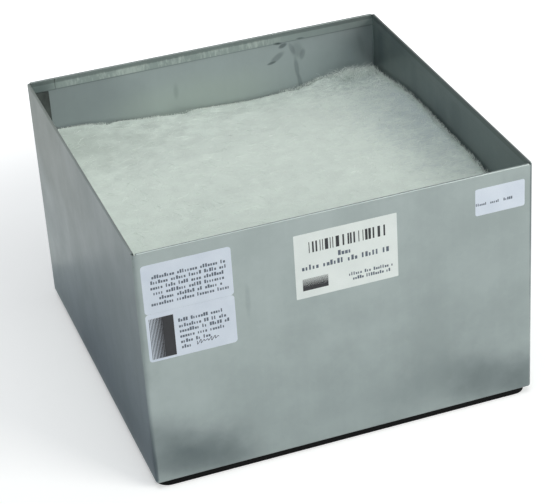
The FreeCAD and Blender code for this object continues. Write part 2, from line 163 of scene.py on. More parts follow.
def make_mesh(name: str, points: np.ndarray, faces: Sequence[np.ndarray], smooth: bool = True) -> Mesh:
    """Puts whole arrays into a new mesh.

    Args:
        name: the mesh's name.
        points: the vertices, (n, 3), in metres.
        faces: arrays of vertex numbers, each (m, 3) or (m, 4), that point outwards by the right hand rule.
        smooth: whether the faces are shaded smooth.

    Returns:
        The mesh.
    """
    mesh = bpy.data.meshes.new(name)
    mesh.vertices.add(len(points))
    mesh.vertices.foreach_set("co", np.asarray(points, np.float32).ravel())
    sizes = np.concatenate([np.full(len(f), f.shape[1], np.int32) for f in faces])
    corners = np.concatenate([np.asarray(f, np.int32).ravel() for f in faces])
    mesh.loops.add(len(corners))
    mesh.loops.foreach_set("vertex_index", corners)
    mesh.polygons.add(len(sizes))
    mesh.polygons.foreach_set("loop_start", np.concatenate([[0], np.cumsum(sizes)[:-1]]).astype(np.int32))
    mesh.polygons.foreach_set("use_smooth", np.full(len(sizes), smooth))
    mesh.update(calc_edges=True)
    mesh.validate()
    return mesh


def read_vertices(mesh: Mesh, what: str = "co") -> np.ndarray:
    """Reads a mesh's vertices as an array.

    Args:
        mesh: the mesh.
        what: "co" for their places, or "normal" for their normals.

    Returns:
        The values, (n, 3).
    """
    values = np.zeros(len(mesh.vertices) * 3, np.float32)
    mesh.vertices.foreach_get(what, values)
    return values.reshape(-1, 3).astype(float)


def move_vertices(mesh: Mesh, points: np.ndarray) -> None:
    """Puts a mesh's vertices at new places."""
    mesh.vertices.foreach_set("co", points.astype(np.float32).ravel())
    mesh.update()


def evaluated(piece: Object) -> Mesh:
    """A copy of a piece's mesh with its modifiers applied."""
    return bpy.data.meshes.new_from_object(piece.evaluated_get(bpy.context.evaluated_depsgraph_get()))


def link_object(name: str, data: Any) -> Object:
    """Adds an object to the scene.

    Args:
        name: its name.
        data: its mesh, lamp or camera.

    Returns:
        The object.
    """
    made = bpy.data.objects.new(name, data)
    bpy.context.scene.collection.objects.link(made)
    return made


def place_piece(
    name: str, mesh: Mesh, material: Material, body: str, replaces: Sequence[str] = ()
) -> Object:
    """Links a mesh to the scene as a piece that rides on a body.

    Args:
        name: the piece's name.
        mesh: its mesh, already in the row frame.
        material: its finish.
        body: the CAD body it moves with.
        replaces: the CAD nodes it stands for.

    Returns:
        The piece.
    """
    piece = link_object(name, mesh)
    piece.data.materials.append(material)
    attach(piece, body)
    if replaces:
        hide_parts(*replaces)
    log.info("made %s: %d faces on %s", name, len(mesh.polygons), body)
    return piece


def grid_faces(rows: int, columns: int, closed: bool = False) -> np.ndarray:
    """The quads of a grid of vertices that are numbered row by row.

    Args:
        rows: how many rows of vertices.
        columns: how many vertices in each row.
        closed: whether each row's end joins its start.

    Returns:
        The quads, (m, 4). They face the side from which columns run right as rows run up.
    """
    r = np.arange(rows - 1)[:, None] * columns
    c = np.arange(columns if closed else columns - 1)[None, :]
    along = (c + 1) % columns
    return np.stack([r + c, r + along, r + columns + along, r + columns + c], -1).reshape(-1, 4)


def closed_slab_faces(rows: int, columns: int) -> list[np.ndarray]:
    """The faces of a slab from two grids of vertices, its face and then its back.

    Args:
        rows: how many rows each grid has.
        columns: how many vertices in each row.

    Returns:
        The quads of the face, the back and the sides.
    """
    quads = grid_faces(rows, columns)
    count = rows * columns
    index = np.arange(count).reshape(rows, columns)
    rim = np.concatenate([index[0, :-1], index[:-1, -1], index[-1, :0:-1], index[:0:-1, 0]])
    after = np.roll(rim, -1)
    return [quads, quads[:, ::-1] + count, np.stack([rim + count, after + count, after, rim], 1)]


def value_noise(points: np.ndarray, cell: float, seed: int) -> np.ndarray:
    """Smooth random lumps, -1 to 1: random numbers on a lattice, blended by 3t^2 - 2t^3 on each axis.

    Args:
        points: where to work it out, (n, 3), in metres.
        cell: the lattice's spacing, in metres.
        seed: picks the lattice.

    Returns:
        One number for each point.
    """
    period = 64
    table = default_rng(seed).random((period, period, period)) * 2 - 1
    scaled = points / cell
    low = np.floor(scaled).astype(int)
    t = scaled - low
    t = t * t * (3 - 2 * t)
    total = np.zeros(len(points))
    for corner in np.ndindex(2, 2, 2):
        weight = np.prod(np.where(np.array(corner) == 1, t, 1 - t), axis=1)
        i, j, k = ((low + corner) % period).T
        total += weight * table[i, j, k]
    return total


def slabs(rectangles: np.ndarray, back: float, front: float) -> tuple[np.ndarray, np.ndarray]:
    """Thin closed blocks that stand on a wall facing -Y.

    Args:
        rectangles: (n, 4), each x from, x to, z from and z to, in metres.
        back: the y of their backs.
        front: the y of their faces, below back.

    Returns:
        Their vertices, (8n, 3), and quads, (6n, 4).
    """
    x0, x1, z0, z1 = rectangles.T
    xs = np.stack([x0, x1, x1, x0], 1)
    zs = np.stack([z0, z0, z1, z1], 1)
    rings = [np.stack([xs, np.full_like(xs, y), zs], -1) for y in (front, back)]
    points = np.concatenate(rings, 1).reshape(-1, 3)
    block = np.array([[0, 1, 2, 3], [7, 6, 5, 4], [0, 4, 5, 1], [1, 5, 6, 2], [2, 6, 7, 3], [3, 7, 4, 0]])
    quads = (np.arange(len(rectangles))[:, None, None] * 8 + block).reshape(-1, 4)
    return points, quads


def unit(vectors: np.ndarray) -> np.ndarray:
    """Vectors scaled to a length of 1, along the last axis."""
    return vectors / np.maximum(np.linalg.norm(vectors, axis=-1, keepdims=True), TINY)


# ---------------------------------------------------------------- steps that the finishes share


def cells(place: NodeSocket, size_mm: float, **shape: float) -> dict[str, Any]:
    """The inputs of a pattern whose cells have this size, and its other inputs by name."""
    return {"Vector": place, "Scale": 1 / (size_mm * MM), **shape}


def combed(tree: NodeTree, place: NodeSocket, cell_mm: Sequence[float], **shape: float) -> NodeSocket:
    """Noise that is drawn out into streaks.

    Args:
        tree: the material's tree.
        place: the coordinates that it lies on.
        cell_mm: how long its cells are along x, y and z.
        shape: the noise's other inputs by name.

    Returns:
        The pattern.
    """
    laid = add(tree, "Mapping", inputs={"Vector": place, "Scale": tuple(1 / (size * MM) for size in cell_mm)})
    return add(tree, "TexNoise", inputs={"Vector": laid, "Scale": 1.0, **shape})


def toned(
    tree: NodeTree,
    value: NodeSocket,
    span: Pair,
    under: NodeSocket | str,
    over: str,
    shares: Pair = (0.0, 1.0),
    settings: dict[str, Any] | None = None,
) -> NodeSocket:
    """Lays a colour over another by a share that changes as a value runs through a span.

    Args:
        tree: the material's tree.
        value: the pattern that sets the share.
        span: where the share starts and stops changing.
        under: the colour below, or its hex code.
        over: the hex code of the colour above.
        shares: how much of that one shows at the span's two ends.
        settings: how the share runs between them, where it isn't straight.

    Returns:
        The colour.
    """
    share = add(tree, "MapRange", settings, (value, *span, *shares))
    below = linear(under) if isinstance(under, str) else under
    return add(tree, "Mix", RGBA, {"Factor": share, 6: below, 7: linear(over)}, output=2)


def close_material(
    tree: NodeTree, height: NodeSocket, strength: float, depth_mm: float, look: dict[str, Any]
) -> None:
    """Ends a material with its relief, its shader and its output.

    Args:
        tree: the material's tree.
        height: the pattern that raises the surface.
        strength: how much of the relief shows.
        depth_mm: how deep it is.
        look: the shader's other inputs by name.
    """
    relief = {"Height": height, "Strength": strength, "Distance": depth_mm * MM}
    bump = add(tree, "Bump", inputs=relief, output="Normal")
    shader = add(tree, "BsdfPrincipled", inputs={**look, "Normal": bump})
    add(tree, "OutputMaterial", inputs={"Surface": shader})


# ---------------------------------------------------------------- finishes


@dataclass(frozen=True)
class TonePatch:
    """A soft-edged patch of another tone: an ellipsoid about a point. Some are stains, others painted shade
    or painted light.
    """

    centre_mm: Triple
    reach_mm: Triple
    strength: float
    soft: float = 1.0
    turn: float = 0.0
    tone: str = "#4B575A"

    @property
    def edge(self) -> float:
        """Where the patch ends, in reaches from its centre, once the patterns that break it up are added."""
        return 1.5

    def lay(
        self,
        tree: NodeTree,
        place: NodeSocket,
        colour: NodeSocket,
        broken_by: Sequence[tuple[NodeSocket, float]],
    ) -> NodeSocket:
        """Lays the patch over a colour.

        Args:
            tree: the material's tree.
            place: its Object coordinates.
            colour: the colour below.
            broken_by: the patterns that make its edge ragged, each with its share.

        Returns:
            The colour with the patch laid over it.
        """
        inputs = {
            "Vector": place,
            "Location": tuple(c * MM for c in self.centre_mm),
            "Rotation": (0.0, math.radians(self.turn), 0.0),
            "Scale": tuple(r * MM for r in self.reach_mm),
        }
        scaled = add(tree, "Mapping", {"vector_type": "TEXTURE"}, inputs)
        far = add(tree, "VectorMath", LENGTH, (scaled,), output="Value")
        for pattern, share in broken_by:
            far = add(tree, "Math", MULTIPLY_ADD, (pattern, share, far))
        span = (self.edge - self.soft, self.edge)
        return toned(tree, far, span, colour, self.tone, (self.strength, 0.0), SMOOTHSTEP)


@dataclass(frozen=True)
class WaddingShade(TonePatch):
    """Painted shade on the wadding where the walls keep light off it: a patch that single strands break up,
    by this much.
    """

    strands: float = 1.6

    @property
    def edge(self) -> float:
        """As any patch's, with half the strands' share for their middle value."""
        return 1.5 + 0.5 * self.strands


def wall_patches(wall: Pair, *rows: Sequence[Any]) -> tuple[TonePatch, ...]:
    """Patches on a wall that faces along Y.

    Args:
        wall: the y of their centres and their reach along Y, in millimetres.
        rows: for each, its x, its z, its reach along X and Z, and then what a patch is given after its reach.

    Returns:
        The patches.
    """
    y, depth = wall
    return tuple(TonePatch((x, y, z), (wide, depth, high), *rest) for x, z, wide, high, *rest in rows)


@dataclass(frozen=True)
class HemWearAndShade:
    """How the hem inside the rim looks: its fold in painted shade, a scuffed flat below, and a painted shadow
    under its edge.

    Each band comes in over starts_mm about its lower height and goes out over stops_mm about its
    upper one. open_end is a height in metres above everything. The rim's top is darker too, and rim_darkening
    says what share of that the left and the front wall keep.
    """

    inside_mm: float = 145.9
    corner_mm: float = 144.0
    edge_mm: float = 184.5
    fold_from_mm: float = 190.6
    rim_from_mm: float = 192.7
    # The height of the painted shadow under the hem's edge.
    under_edge_shadow_mm: float = 1.3
    scuff_mm: Triple = (2.0, 2.0, 6.0)
    broad_mm: float = 24.0
    broad_share: float = 0.7
    scuffed: Four = (0.78, 1.02, 0.0, 0.80)
    scuffed_after_mm: Pair = (-124.0, -106.0)
    scuffed_to_mm: Pair = (48.0, 68.0)
    scuff: str = "#C3CCC8"
    # The dark tone of the painted shade on the fold and of the painted shadow under the edge; the rim's top
    # takes it too.
    dark_tone: str = "#39413F"
    lap_mm: float = 1.0
    open_end: float = 1.0
    # How much of that tone the fold's painted shade, the painted shadow under the edge and the rim's top
    # take.
    fold_shade: float = 0.42
    dark_share: float = 0.35
    rim_darkening: Pair = (0.4, 0.5)
    rim_clears: float = 0.9
    starts_mm: Pair = (-0.2, 0.4)
    stops_mm: Pair = (-0.3, 0.2)

    def wear_and_shade(self, tree: NodeTree, place: NodeSocket, colour: NodeSocket) -> NodeSocket:
        """Lays the scuffs and the painted shade over a colour, as bands between two heights, each on its own
        walls.

        Args:
            tree: the material's tree.
            place: its Object coordinates.
            colour: the colour below.

        Returns:
            The colour, scuffed and shaded.
        """
        axes = [add(tree, "SeparateXYZ", inputs=(place,), output=axis) for axis in ("X", "Y", "Z")]
        out = [add(tree, "Math", {"operation": "ABSOLUTE"}, (axis,)) for axis in axes[:2]]
        far = add(tree, "Math", MAXIMUM, out)
        inside = add(tree, "Math", {"operation": "LESS_THAN"}, (far, self.inside_mm * MM))
        corner = self.corner_mm * MM
        clear = [
            add(tree, "MapRange", inputs=(axis, -corner, -self.rim_clears * corner, least, 1.0))
            for axis, least in zip(axes, self.rim_darkening)
        ]
        rim = add(tree, "Math", MULTIPLY, (clear[1], clear[0]))
        marks = combed(tree, place, self.scuff_mm, Detail=3.0, Roughness=0.7)
        broad = add(tree, "TexNoise", inputs=cells(place, self.broad_mm, Detail=1.0))
        marks = add(tree, "Math", MULTIPLY_ADD, (broad, self.broad_share, marks))
        scuffs = add(tree, "MapRange", inputs=(marks, *self.scuffed))
        rear = add(tree, "Math", {"operation": "GREATER_THAN"}, (axes[1], corner))
        rear = add(tree, "Math", MULTIPLY, (rear, inside))
        for (start, end), gone in ((self.scuffed_after_mm, 0.0), (self.scuffed_to_mm, 1.0)):
            near = add(tree, "MapRange", inputs=(axes[0], start * MM, end * MM, gone, 1 - gone))
            rear = add(tree, "Math", MULTIPLY, (rear, near))
        fold, edge, under_edge_shadow = self.fold_from_mm * MM, self.edge_mm * MM, self.under_edge_shadow_mm * MM
        # The bands: scuffs on the back wall's hem, painted shade on the fold inside, a painted shadow under
        # the hem's edge, and the rim's top darker.
        for low, high, where, strength, tone in (
            (edge, fold, rear, scuffs, self.scuff),
            (fold - self.lap_mm * MM, self.open_end, inside, self.fold_shade, self.dark_tone),
            (edge - under_edge_shadow, edge, inside, self.dark_share, self.dark_tone),
            (self.rim_from_mm * MM, self.open_end, rim, self.dark_share, self.dark_tone),
        ):
            start, whole = (low + lag * MM for lag in self.starts_mm)
            fading, stop = (high + lag * MM for lag in self.stops_mm)
            band = add(tree, "MapRange", inputs=(axes[2], start, whole, 0.0, 1.0))
            below = add(tree, "MapRange", inputs=(axes[2], fading, stop, 1.0, 0.0))
            for share in (below, where, strength):
                band = add(tree, "Math", MULTIPLY, (band, share))
            colour = add(tree, "Mix", RGBA, {"Factor": band, 6: colour, 7: linear(tone)}, output=2)
        return colour


@dataclass(frozen=True)
class GalvanisedSteel:
    """Hot-dip galvanised sheet with minimised spangle, dulled by handling.

    To the eye it is a cool grey, half metal and half chalky oxide, with no clear mirror image: large pale
    clouds where the zinc has dulled, the faintest streaks along the way it was rolled, and a fine grain. The
    clouds and a finer mottle break up the edges of its stains and of the shade and light painted on it.
    """

    name: str = "galvanised_steel_dull"
    bright: str = "#A1ACAB"
    dull: str = "#99A4A3"
    metallic: float = 0.62
    roughness: Pair = (0.40, 0.30)
    tone_span: Pair = (0.42, 0.86)
    rough_span: Pair = (0.45, 1.0)
    cloud_mm: float = 48.0
    mottle_mm: float = 13.0
    spangle_mm: float = 4.0
    grit_mm: float = 1.2
    streak_mm: Triple = (5.0, 5.0, 120.0)
    relief: float = 0.25
    relief_mm: float = 0.03
    streak_share: float = 0.18
    spangle_share: float = 0.10
    spangle_relief: float = 0.4
    cloud_break: float = 0.6
    mottle_break: float = 0.2
    stains_and_painted_light: tuple[TonePatch, ...] = ()
    hem: HemWearAndShade | None = None

    def make(self) -> Material:
        """Builds the material.

        Returns:
            The finish.
        """
        material, tree, place = open_material(self.name)
        clouds = add(tree, "TexNoise", inputs=cells(place, self.cloud_mm, Detail=4.0, Roughness=0.5))
        streaks = combed(tree, place, self.streak_mm, Detail=2.0)
        crystals = add(tree, "TexVoronoi", inputs=cells(place, self.spangle_mm), output="Color")
        crystal = add(tree, "RGBToBW", inputs=(crystals,))
        tone = add(tree, "Math", MULTIPLY_ADD, (streaks, self.streak_share, clouds))
        tone = add(tree, "Math", MULTIPLY_ADD, (crystal, self.spangle_share, tone))
        colour = toned(tree, tone, self.tone_span, self.dull, self.bright, settings=SMOOTHSTEP)
        mottle = add(tree, "TexNoise", inputs=cells(place, self.mottle_mm, Detail=3.0))
        for tone_patch in self.stains_and_painted_light:
            broken_by = ((clouds, self.cloud_break), (mottle, self.mottle_break))
            colour = tone_patch.lay(tree, place, colour, broken_by)
        if self.hem:
            colour = self.hem.wear_and_shade(tree, place, colour)
        rough = add(tree, "MapRange", inputs=(tone, *self.rough_span, *self.roughness))
        fine = add(tree, "TexNoise", inputs=cells(place, self.grit_mm, Detail=2.0))
        relief = add(tree, "Math", MULTIPLY_ADD, (crystal, self.spangle_relief, fine))
        look = {"Base Color": colour, "Metallic": self.metallic, "Roughness": rough}
        close_material(tree, relief, self.relief, self.relief_mm, look)
        return material


@dataclass(frozen=True)
class Grained:
    """A dull finish whose colour wanders between two tones in grains, with a raised grain to match.

    The finishes below are this one with their own names, colours and grain sizes.
    """

    name: str
    dark: str
    light: str
    grain_mm: float
    patch_mm: float
    roughness: float
    relief_mm: float
    specular: float = 0.5
    sheen: float = 0.0
    stretch: Triple = (1.0, 1.0, 1.0)
    relief: float = 0.8
    tone_span: Pair = (0.7, 1.3)

    def make(self) -> Material:
        """Builds the material.

        Returns:
            The finish.
        """
        material, tree, place = open_material(self.name)
        mapped = add(tree, "Mapping", inputs={"Vector": place, "Scale": self.stretch})
        grain = add(tree, "TexNoise", inputs=cells(mapped, self.grain_mm, Detail=3.0, Roughness=0.6))
        patches = add(tree, "TexNoise", inputs=cells(place, self.patch_mm, Detail=2.0))
        tone = add(tree, "Math", {"operation": "ADD"}, (grain, patches))
        look = {
            "Base Color": toned(tree, tone, self.tone_span, self.dark, self.light),
            "Roughness": self.roughness,
            "Specular IOR Level": self.specular,
            "Sheen Weight": self.sheen,
        }
        close_material(tree, grain, self.relief, self.relief_mm, look)
        return material


# Closed-cell neoprene foam, moulded: black, quite dull, with a skin of pores under a millimetre wide.
NEOPRENE_FOAM = Grained("neoprene_foam_black", "#040505", "#0D0E0F", 0.7, 25.0, 0.85, 0.08, specular=0.15)
# Butyl mastic, pressed out flat: dark grey, slightly greasy, with soft pull marks.
BUTYL_MASTIC = Grained("butyl_mastic_grey", "#262B2A", "#4A504E", 5.0, 16.0, 0.55, 0.25, stretch=(1, 1, 0.4))
# Spunbonded polyester scrim: off-white, its flat bonded filaments give a cloudy, slightly silky look.
SPUNBOND_SCRIM = Grained("spunbond_polyester_scrim", "#B9BDB8", "#DDE0DC", 1.1, 14.0, 0.82, 0.06, sheen=0.15)
# Activated carbon granules, steam made: matte black grains a few millimetres across.
CARBON_GRANULES = Grained(
    "activated_carbon_granules", "#0B0B0B", "#262626", 2.6, 40.0, 0.9, 0.9, specular=0.3
)
# Polyurethane potting, poured: cream, smooth and slightly glossy where it levelled itself.
POTTING_RESIN = Grained("polyurethane_potting_cream", "#C3B68F", "#D8CDAA", 6.0, 45.0, 0.38, 0.05)
# Glass-fibre filter paper: white, quite matte, with a felt-like surface.
GLASS_PAPER = Grained("glass_fibre_paper", "#D2D3CD", "#E9E9E4", 0.8, 30.0, 0.9, 0.03, specular=0.3)
# Hot-melt glue in beads: translucent straw colour, glossy.
HOT_MELT = Grained("hot_melt_beads", "#CDBE8C", "#DDD2AC", 2.0, 18.0, 0.3, 0.08)
# Laser-printed label paper, neutral white: matte, with a very fine tooth.
LABEL_WHITE = Grained("label_paper_white", "#DAE2E0", "#E4EBE9", 0.5, 16.0, 0.62, 0.006)
# The same with a blue brightener in it.
LABEL_BLUE = Grained("label_paper_blue_white", "#CCD6E3", "#D8E1EC", 0.5, 16.0, 0.62, 0.006)
# Toner fused on to the paper: near black with a slight gloss.
TONER = Grained("toner_black", "#15171B", "#22252A", 0.4, 6.0, 0.45, 0.004)
# The same toner in a half-tone screen too fine to show: mid grey.
TONER_GREY = Grained("toner_grey", "#4A5462", "#5C6774", 0.4, 6.0, 0.5, 0.004)
# Ballpoint ink: dark blue-black lines.
PEN_INK = Grained("pen_ink_blue_black", "#1A2033", "#262D42", 0.4, 6.0, 0.5, 0.002)
# Single polyester fibres: white, with a faint gloss along them.
POLYESTER_FIBRE = Grained("polyester_fibre", "#E6F0E9", "#F8FDF9", 3.0, 20.0, 0.6, 0.004, specular=0.3)


@dataclass(frozen=True)
class PolyesterWadding:
    """Carded and thermally bonded polyester fibre in a loose batt.

    To the eye it is soft white with grey-green hollows: fine crossing fibres, thin and thick places a
    centimetre or two across, and a matte, slightly glowing surface with no highlight.
    """

    name: str = "polyester_wadding"
    hollow: str = "#D2DDD5"
    body: str = "#DAE6DD"
    fibre: str = "#E6F0E8"
    fibre_mm: Triple = (5.0, 0.55, 0.55)
    sheaf_turns: tuple[float, ...] = (12.0, 71.0, 133.0)
    clump_mm: float = 14.0
    clump_span: Pair = (0.36, 0.62)
    sheaf_span: Pair = (0.5, 0.85)
    sheaf_share: float = 0.7
    clump_relief: float = 1.5
    relief: float = 0.5
    relief_mm: float = 0.35
    roughness: float = 0.95
    specular: float = 0.1
    sheen: Pair = (0.25, 0.6)
    strand_mm: Triple = (5.0, 1.4, 1.4)
    # Painted shade where the walls keep light off the wadding: at the back left, along the back wall, along
    # the right wall in a cooler tone, and darkest in the back right corner.
    painted_shade: tuple[WaddingShade, ...] = (
        WaddingShade((-128.0, 118.0, 150.0), (125.0, 95.0, 90.0), 0.62, 1.0, tone="#A5B2A9", strands=0.2),
        WaddingShade((10.0, 150.0, 150.0), (160.0, 56.0, 90.0), 0.72, 0.9, tone="#A9B4AE", strands=0.4),
        WaddingShade((150.0, 30.0, 150.0), (80.0, 146.0, 90.0), 0.70, 1.1, tone="#B2C0C4"),
        WaddingShade((122.0, 132.0, 150.0), (54.0, 42.0, 90.0), 0.50, 1.0, tone="#8A9898", strands=2.2),
    )

    def make(self) -> Material:
        """Builds the material: three sheaves of stretched noise at different angles over soft clumps.

        Returns:
            The finish.
        """
        material, tree, place = open_material(self.name)
        clumps = add(tree, "TexNoise", inputs=cells(place, self.clump_mm, Detail=5.0, Roughness=0.62))
        sheaves = None
        for degrees in self.sheaf_turns:
            turn = (0.0, 0.0, math.radians(degrees))
            turned = add(tree, "Mapping", inputs={"Vector": place, "Rotation": turn})
            sheaf = combed(tree, turned, self.fibre_mm, Detail=2.0, Distortion=1.2)
            sheaves = sheaf if sheaves is None else add(tree, "Math", MAXIMUM, (sheaves, sheaf))
        colour = toned(tree, clumps, self.clump_span, self.hollow, self.body)
        colour = toned(tree, sheaves, self.sheaf_span, colour, self.fibre, (0.0, self.sheaf_share))
        strands = combed(tree, place, self.strand_mm, Detail=3.0, Distortion=1.0)
        for patch in self.painted_shade:
            colour = patch.lay(tree, place, colour, ((clumps, 1.0), (strands, patch.strands)))
        height = add(tree, "Math", MULTIPLY_ADD, (clumps, self.clump_relief, sheaves))
        look = {
            "Base Color": colour,
            "Roughness": self.roughness,
            "Specular IOR Level": self.specular,
            "Sheen Weight": self.sheen[0],
            "Sheen Roughness": self.sheen[1],
        }
        close_material(tree, height, self.relief, self.relief_mm, look)
        return material


# ---------------------------------------------------------------- studio


@dataclass(frozen=True)
class Lamp:
    """A square soft lamp that points at the object."""

    name: str
    direction: Triple
    size: float
    level: float
    tint: str = "#FFFFFF"
    distance: float = 2.2

    def hang(self, target: Vector) -> None:
        """Hangs the lamp, so that it makes a white card which faces it `level` bright, where 1 is white.

        Args:
            target: the point that it faces.
        """
        data = bpy.data.lights.new(self.name, "AREA")
        data.shape, data.size = "SQUARE", self.size
        data.energy = math.pi**2 * self.distance**2 * self.level
        data.color = linear(self.tint)[:3]
        lamp = link_object(self.name, data)
        towards = Vector(self.direction).normalized()
        lamp.location = target + towards * self.distance
        lamp.rotation_mode = "QUATERNION"
        lamp.rotation_quaternion = towards.to_track_quat("Z", "Y")
        lamp.visible_camera = False


@dataclass
class Studio:
    """A plain pale floor, soft lamps, and the camera."""

    lens_mm: float = 125.916
    sensor_mm: float = 36.0
    clip: Pair = (0.01, 50.0)
    azimuth: float = -18.112
    elevation: float = 30.412
    roll: float = -3.803
    distance: float = 1.5085
    target: Triple = (0.00434, 0.0, 0.07949)
    floor_size: float = 12.0
    floor_drop: float = 0.0003
    floor_tones: tuple[str, str] = ("#E4E5E5", "#E8E9E9")
    floor_mottle: float = 3.0
    floor_glow: float = 0.40
    glow_span: Pair = (0.25, 0.75)
    flag_mm: tuple[Pair, Pair] = ((-265.0, -149.0), (-180.0, 190.0))
    flag_lift: float = 0.0002
    flag_tones: tuple[str, str] = ("#8890A4", "#F6FAFF")
    flag_fades_mm: Triple = (10.0, 15.0, 130.0)
    flag_nap_mm: float = 12.5
    nap_share: float = 0.06
    sky: float = 0.20
    sky_tint: str = "#EAF6FF"
    lamps: tuple[Lamp, ...] = (
        Lamp("key", (0.56, -0.70, 0.46), 1.1, 0.585, "#FFFCF6"),
        Lamp("top", (-0.06, -0.22, 1.0), 1.6, 0.44),
    )

    def camera(self) -> None:
        """Makes the camera that looks down on the labelled wall from its left."""
        turn, lift, roll = (math.radians(a) for a in (self.azimuth, self.elevation, self.roll))
        back = Vector((math.sin(turn) * math.cos(lift), -math.cos(turn) * math.cos(lift), math.sin(lift)))
        side = Vector((0, 0, 1)).cross(back).normalized()
        rise = back.cross(side)
        right = side * math.cos(roll) + rise * math.sin(roll)
        up = rise * math.cos(roll) - side * math.sin(roll)
        data = bpy.data.cameras.new("camera")
        data.lens, data.sensor_width = self.lens_mm, self.sensor_mm
        data.clip_start, data.clip_end = self.clip
        camera = link_object("camera", data)
        turned = Matrix((right, up, back)).transposed().to_4x4()
        camera.matrix_world = Matrix.Translation(Vector(self.target) + back * self.distance) @ turned
        bpy.context.scene.camera = camera

    def card(self, name: str, sides: Sequence[Sequence[float]], height: float, material: Material) -> Object:
        """Lays a level card that isn't part of the object.

        Args:
            name: the card's name.
            sides: its x from and to, and its y from and to.
            height: its z.
            material: its finish.

        Returns:
            The card.
        """
        (x0, x1), (y0, y1) = sides
        corners = np.array([[x0, y0, height], [x1, y0, height], [x1, y1, height], [x0, y1, height]])
        card = link_object(name, make_mesh(name, corners, [np.array([[0, 1, 2, 3]])], smooth=False))
        card.data.materials.append(material)
        return card

    def matte(self, tree: NodeTree, share: NodeSocket, tones: tuple[str, str]) -> NodeSocket:
        """A matte shader whose colour runs from the first tone to the second by a share."""
        colours = {"Factor": share, 6: linear(tones[0]), 7: linear(tones[1])}
        return add(tree, "BsdfDiffuse", inputs={"Color": add(tree, "Mix", RGBA, colours, output=2)})

    def floor(self) -> None:
        """Lays the floor: white card that glows for camera, mirror and glass rays, least round the object."""
        material, tree, place = open_material("white_card")
        mottle = add(tree, "TexNoise", inputs={"Vector": place, "Scale": self.floor_mottle})
        card = self.matte(tree, mottle, self.floor_tones)
        far = add(tree, "VectorMath", LENGTH, (place,), output="Value")
        white = add(tree, "MapRange", SMOOTHSTEP, (far, *self.glow_span, self.floor_glow, 1.0))
        camera = add(tree, "LightPath", output="Is Camera Ray")
        mirrored = self.seen(tree, self.floor_glow)
        strength = add(tree, "MapRange", inputs=(camera, 0.0, 1.0, mirrored, white))
        glow = add(tree, "Emission", inputs={"Strength": strength})
        both = add(tree, "AddShader", inputs=(card, glow))
        add(tree, "OutputMaterial", inputs={"Surface": both})
        half = self.floor_size / 2
        floor = self.card("floor", ((-half, half), (-half, half)), -self.floor_drop, material)

    def flag(self) -> None:
        """Lays a dark flag on the floor beside the left wall, where only the wall's reflection shows it."""
        sides = [[c * MM for c in pair] for pair in self.flag_mm]
        (outer, inner), (_, back) = sides
        margin, border, thinning = (c * MM for c in self.flag_fades_mm)
        material, tree, place = open_material("dark_felt")
        nap = add(tree, "TexNoise", inputs=cells(place, self.flag_nap_mm))
        out, along = (add(tree, "SeparateXYZ", inputs=(place,), output=axis) for axis in ("X", "Y"))
        faded = add(tree, "MapRange", inputs=(out, inner - margin, outer + border, 0.0, 1.0))
        thinned = add(tree, "MapRange", inputs=(along, back - thinning, back, 0.0, 1.0))
        faded = add(tree, "Math", MAXIMUM, (faded, thinned))
        faded = add(tree, "Math", MULTIPLY_ADD, (nap, self.nap_share, faded))
        add(tree, "OutputMaterial", inputs={"Surface": self.matte(tree, faded, self.flag_tones)})
        flag = self.card("flag", sides, self.flag_lift, material)
        for ray in ("camera", "diffuse", "transmission", "shadow", "volume_scatter"):
            setattr(flag, f"visible_{ray}", False)

    def seen(self, tree: NodeTree, strength: float, otherwise: float = 0.0) -> NodeSocket:
        """A strength that camera, mirror and glass rays find, and another for the rest.

        Args:
            tree: the node tree.
            strength: what those rays find.
            otherwise: what light on the object finds.

        Returns:
            The socket with the strength.
        """
        either, *others = (
            add(tree, "LightPath", output=f"Is {kind} Ray") for kind in ("Camera", "Glossy", "Transmission")
        )
        for ray in others:
            either = add(tree, "Math", MAXIMUM, (either, ray))
        return add(tree, "MapRange", inputs=(either, 0.0, 1.0, otherwise, strength))

    def world(self) -> None:
        """Lights the object evenly from all round, and shows white where nothing stands."""
        world = bpy.data.worlds.new("studio")
        world.use_nodes = True
        tree = world.node_tree
        tree.nodes.clear()
        tint = [self.seen(tree, 1.0, part) for part in linear(self.sky_tint)[:3]]
        colour = add(tree, "CombineColor", inputs=tint)
        strength = self.seen(tree, 1.0, self.sky)
        light = add(tree, "Background", inputs={"Color": colour, "Strength": strength})
        add(tree, "OutputWorld", inputs={"Surface": light})
        bpy.context.scene.world = world

    def build(self) -> None:
        """Sets up the whole studio."""
        bpy.context.scene.view_settings.view_transform = "Standard"
        self.camera()
        self.world()
        self.floor()
        self.flag()
        for lamp in self.lamps:
            lamp.hang(Vector(self.target))
        log.info("studio ready")


# ---------------------------------------------------------------- casing


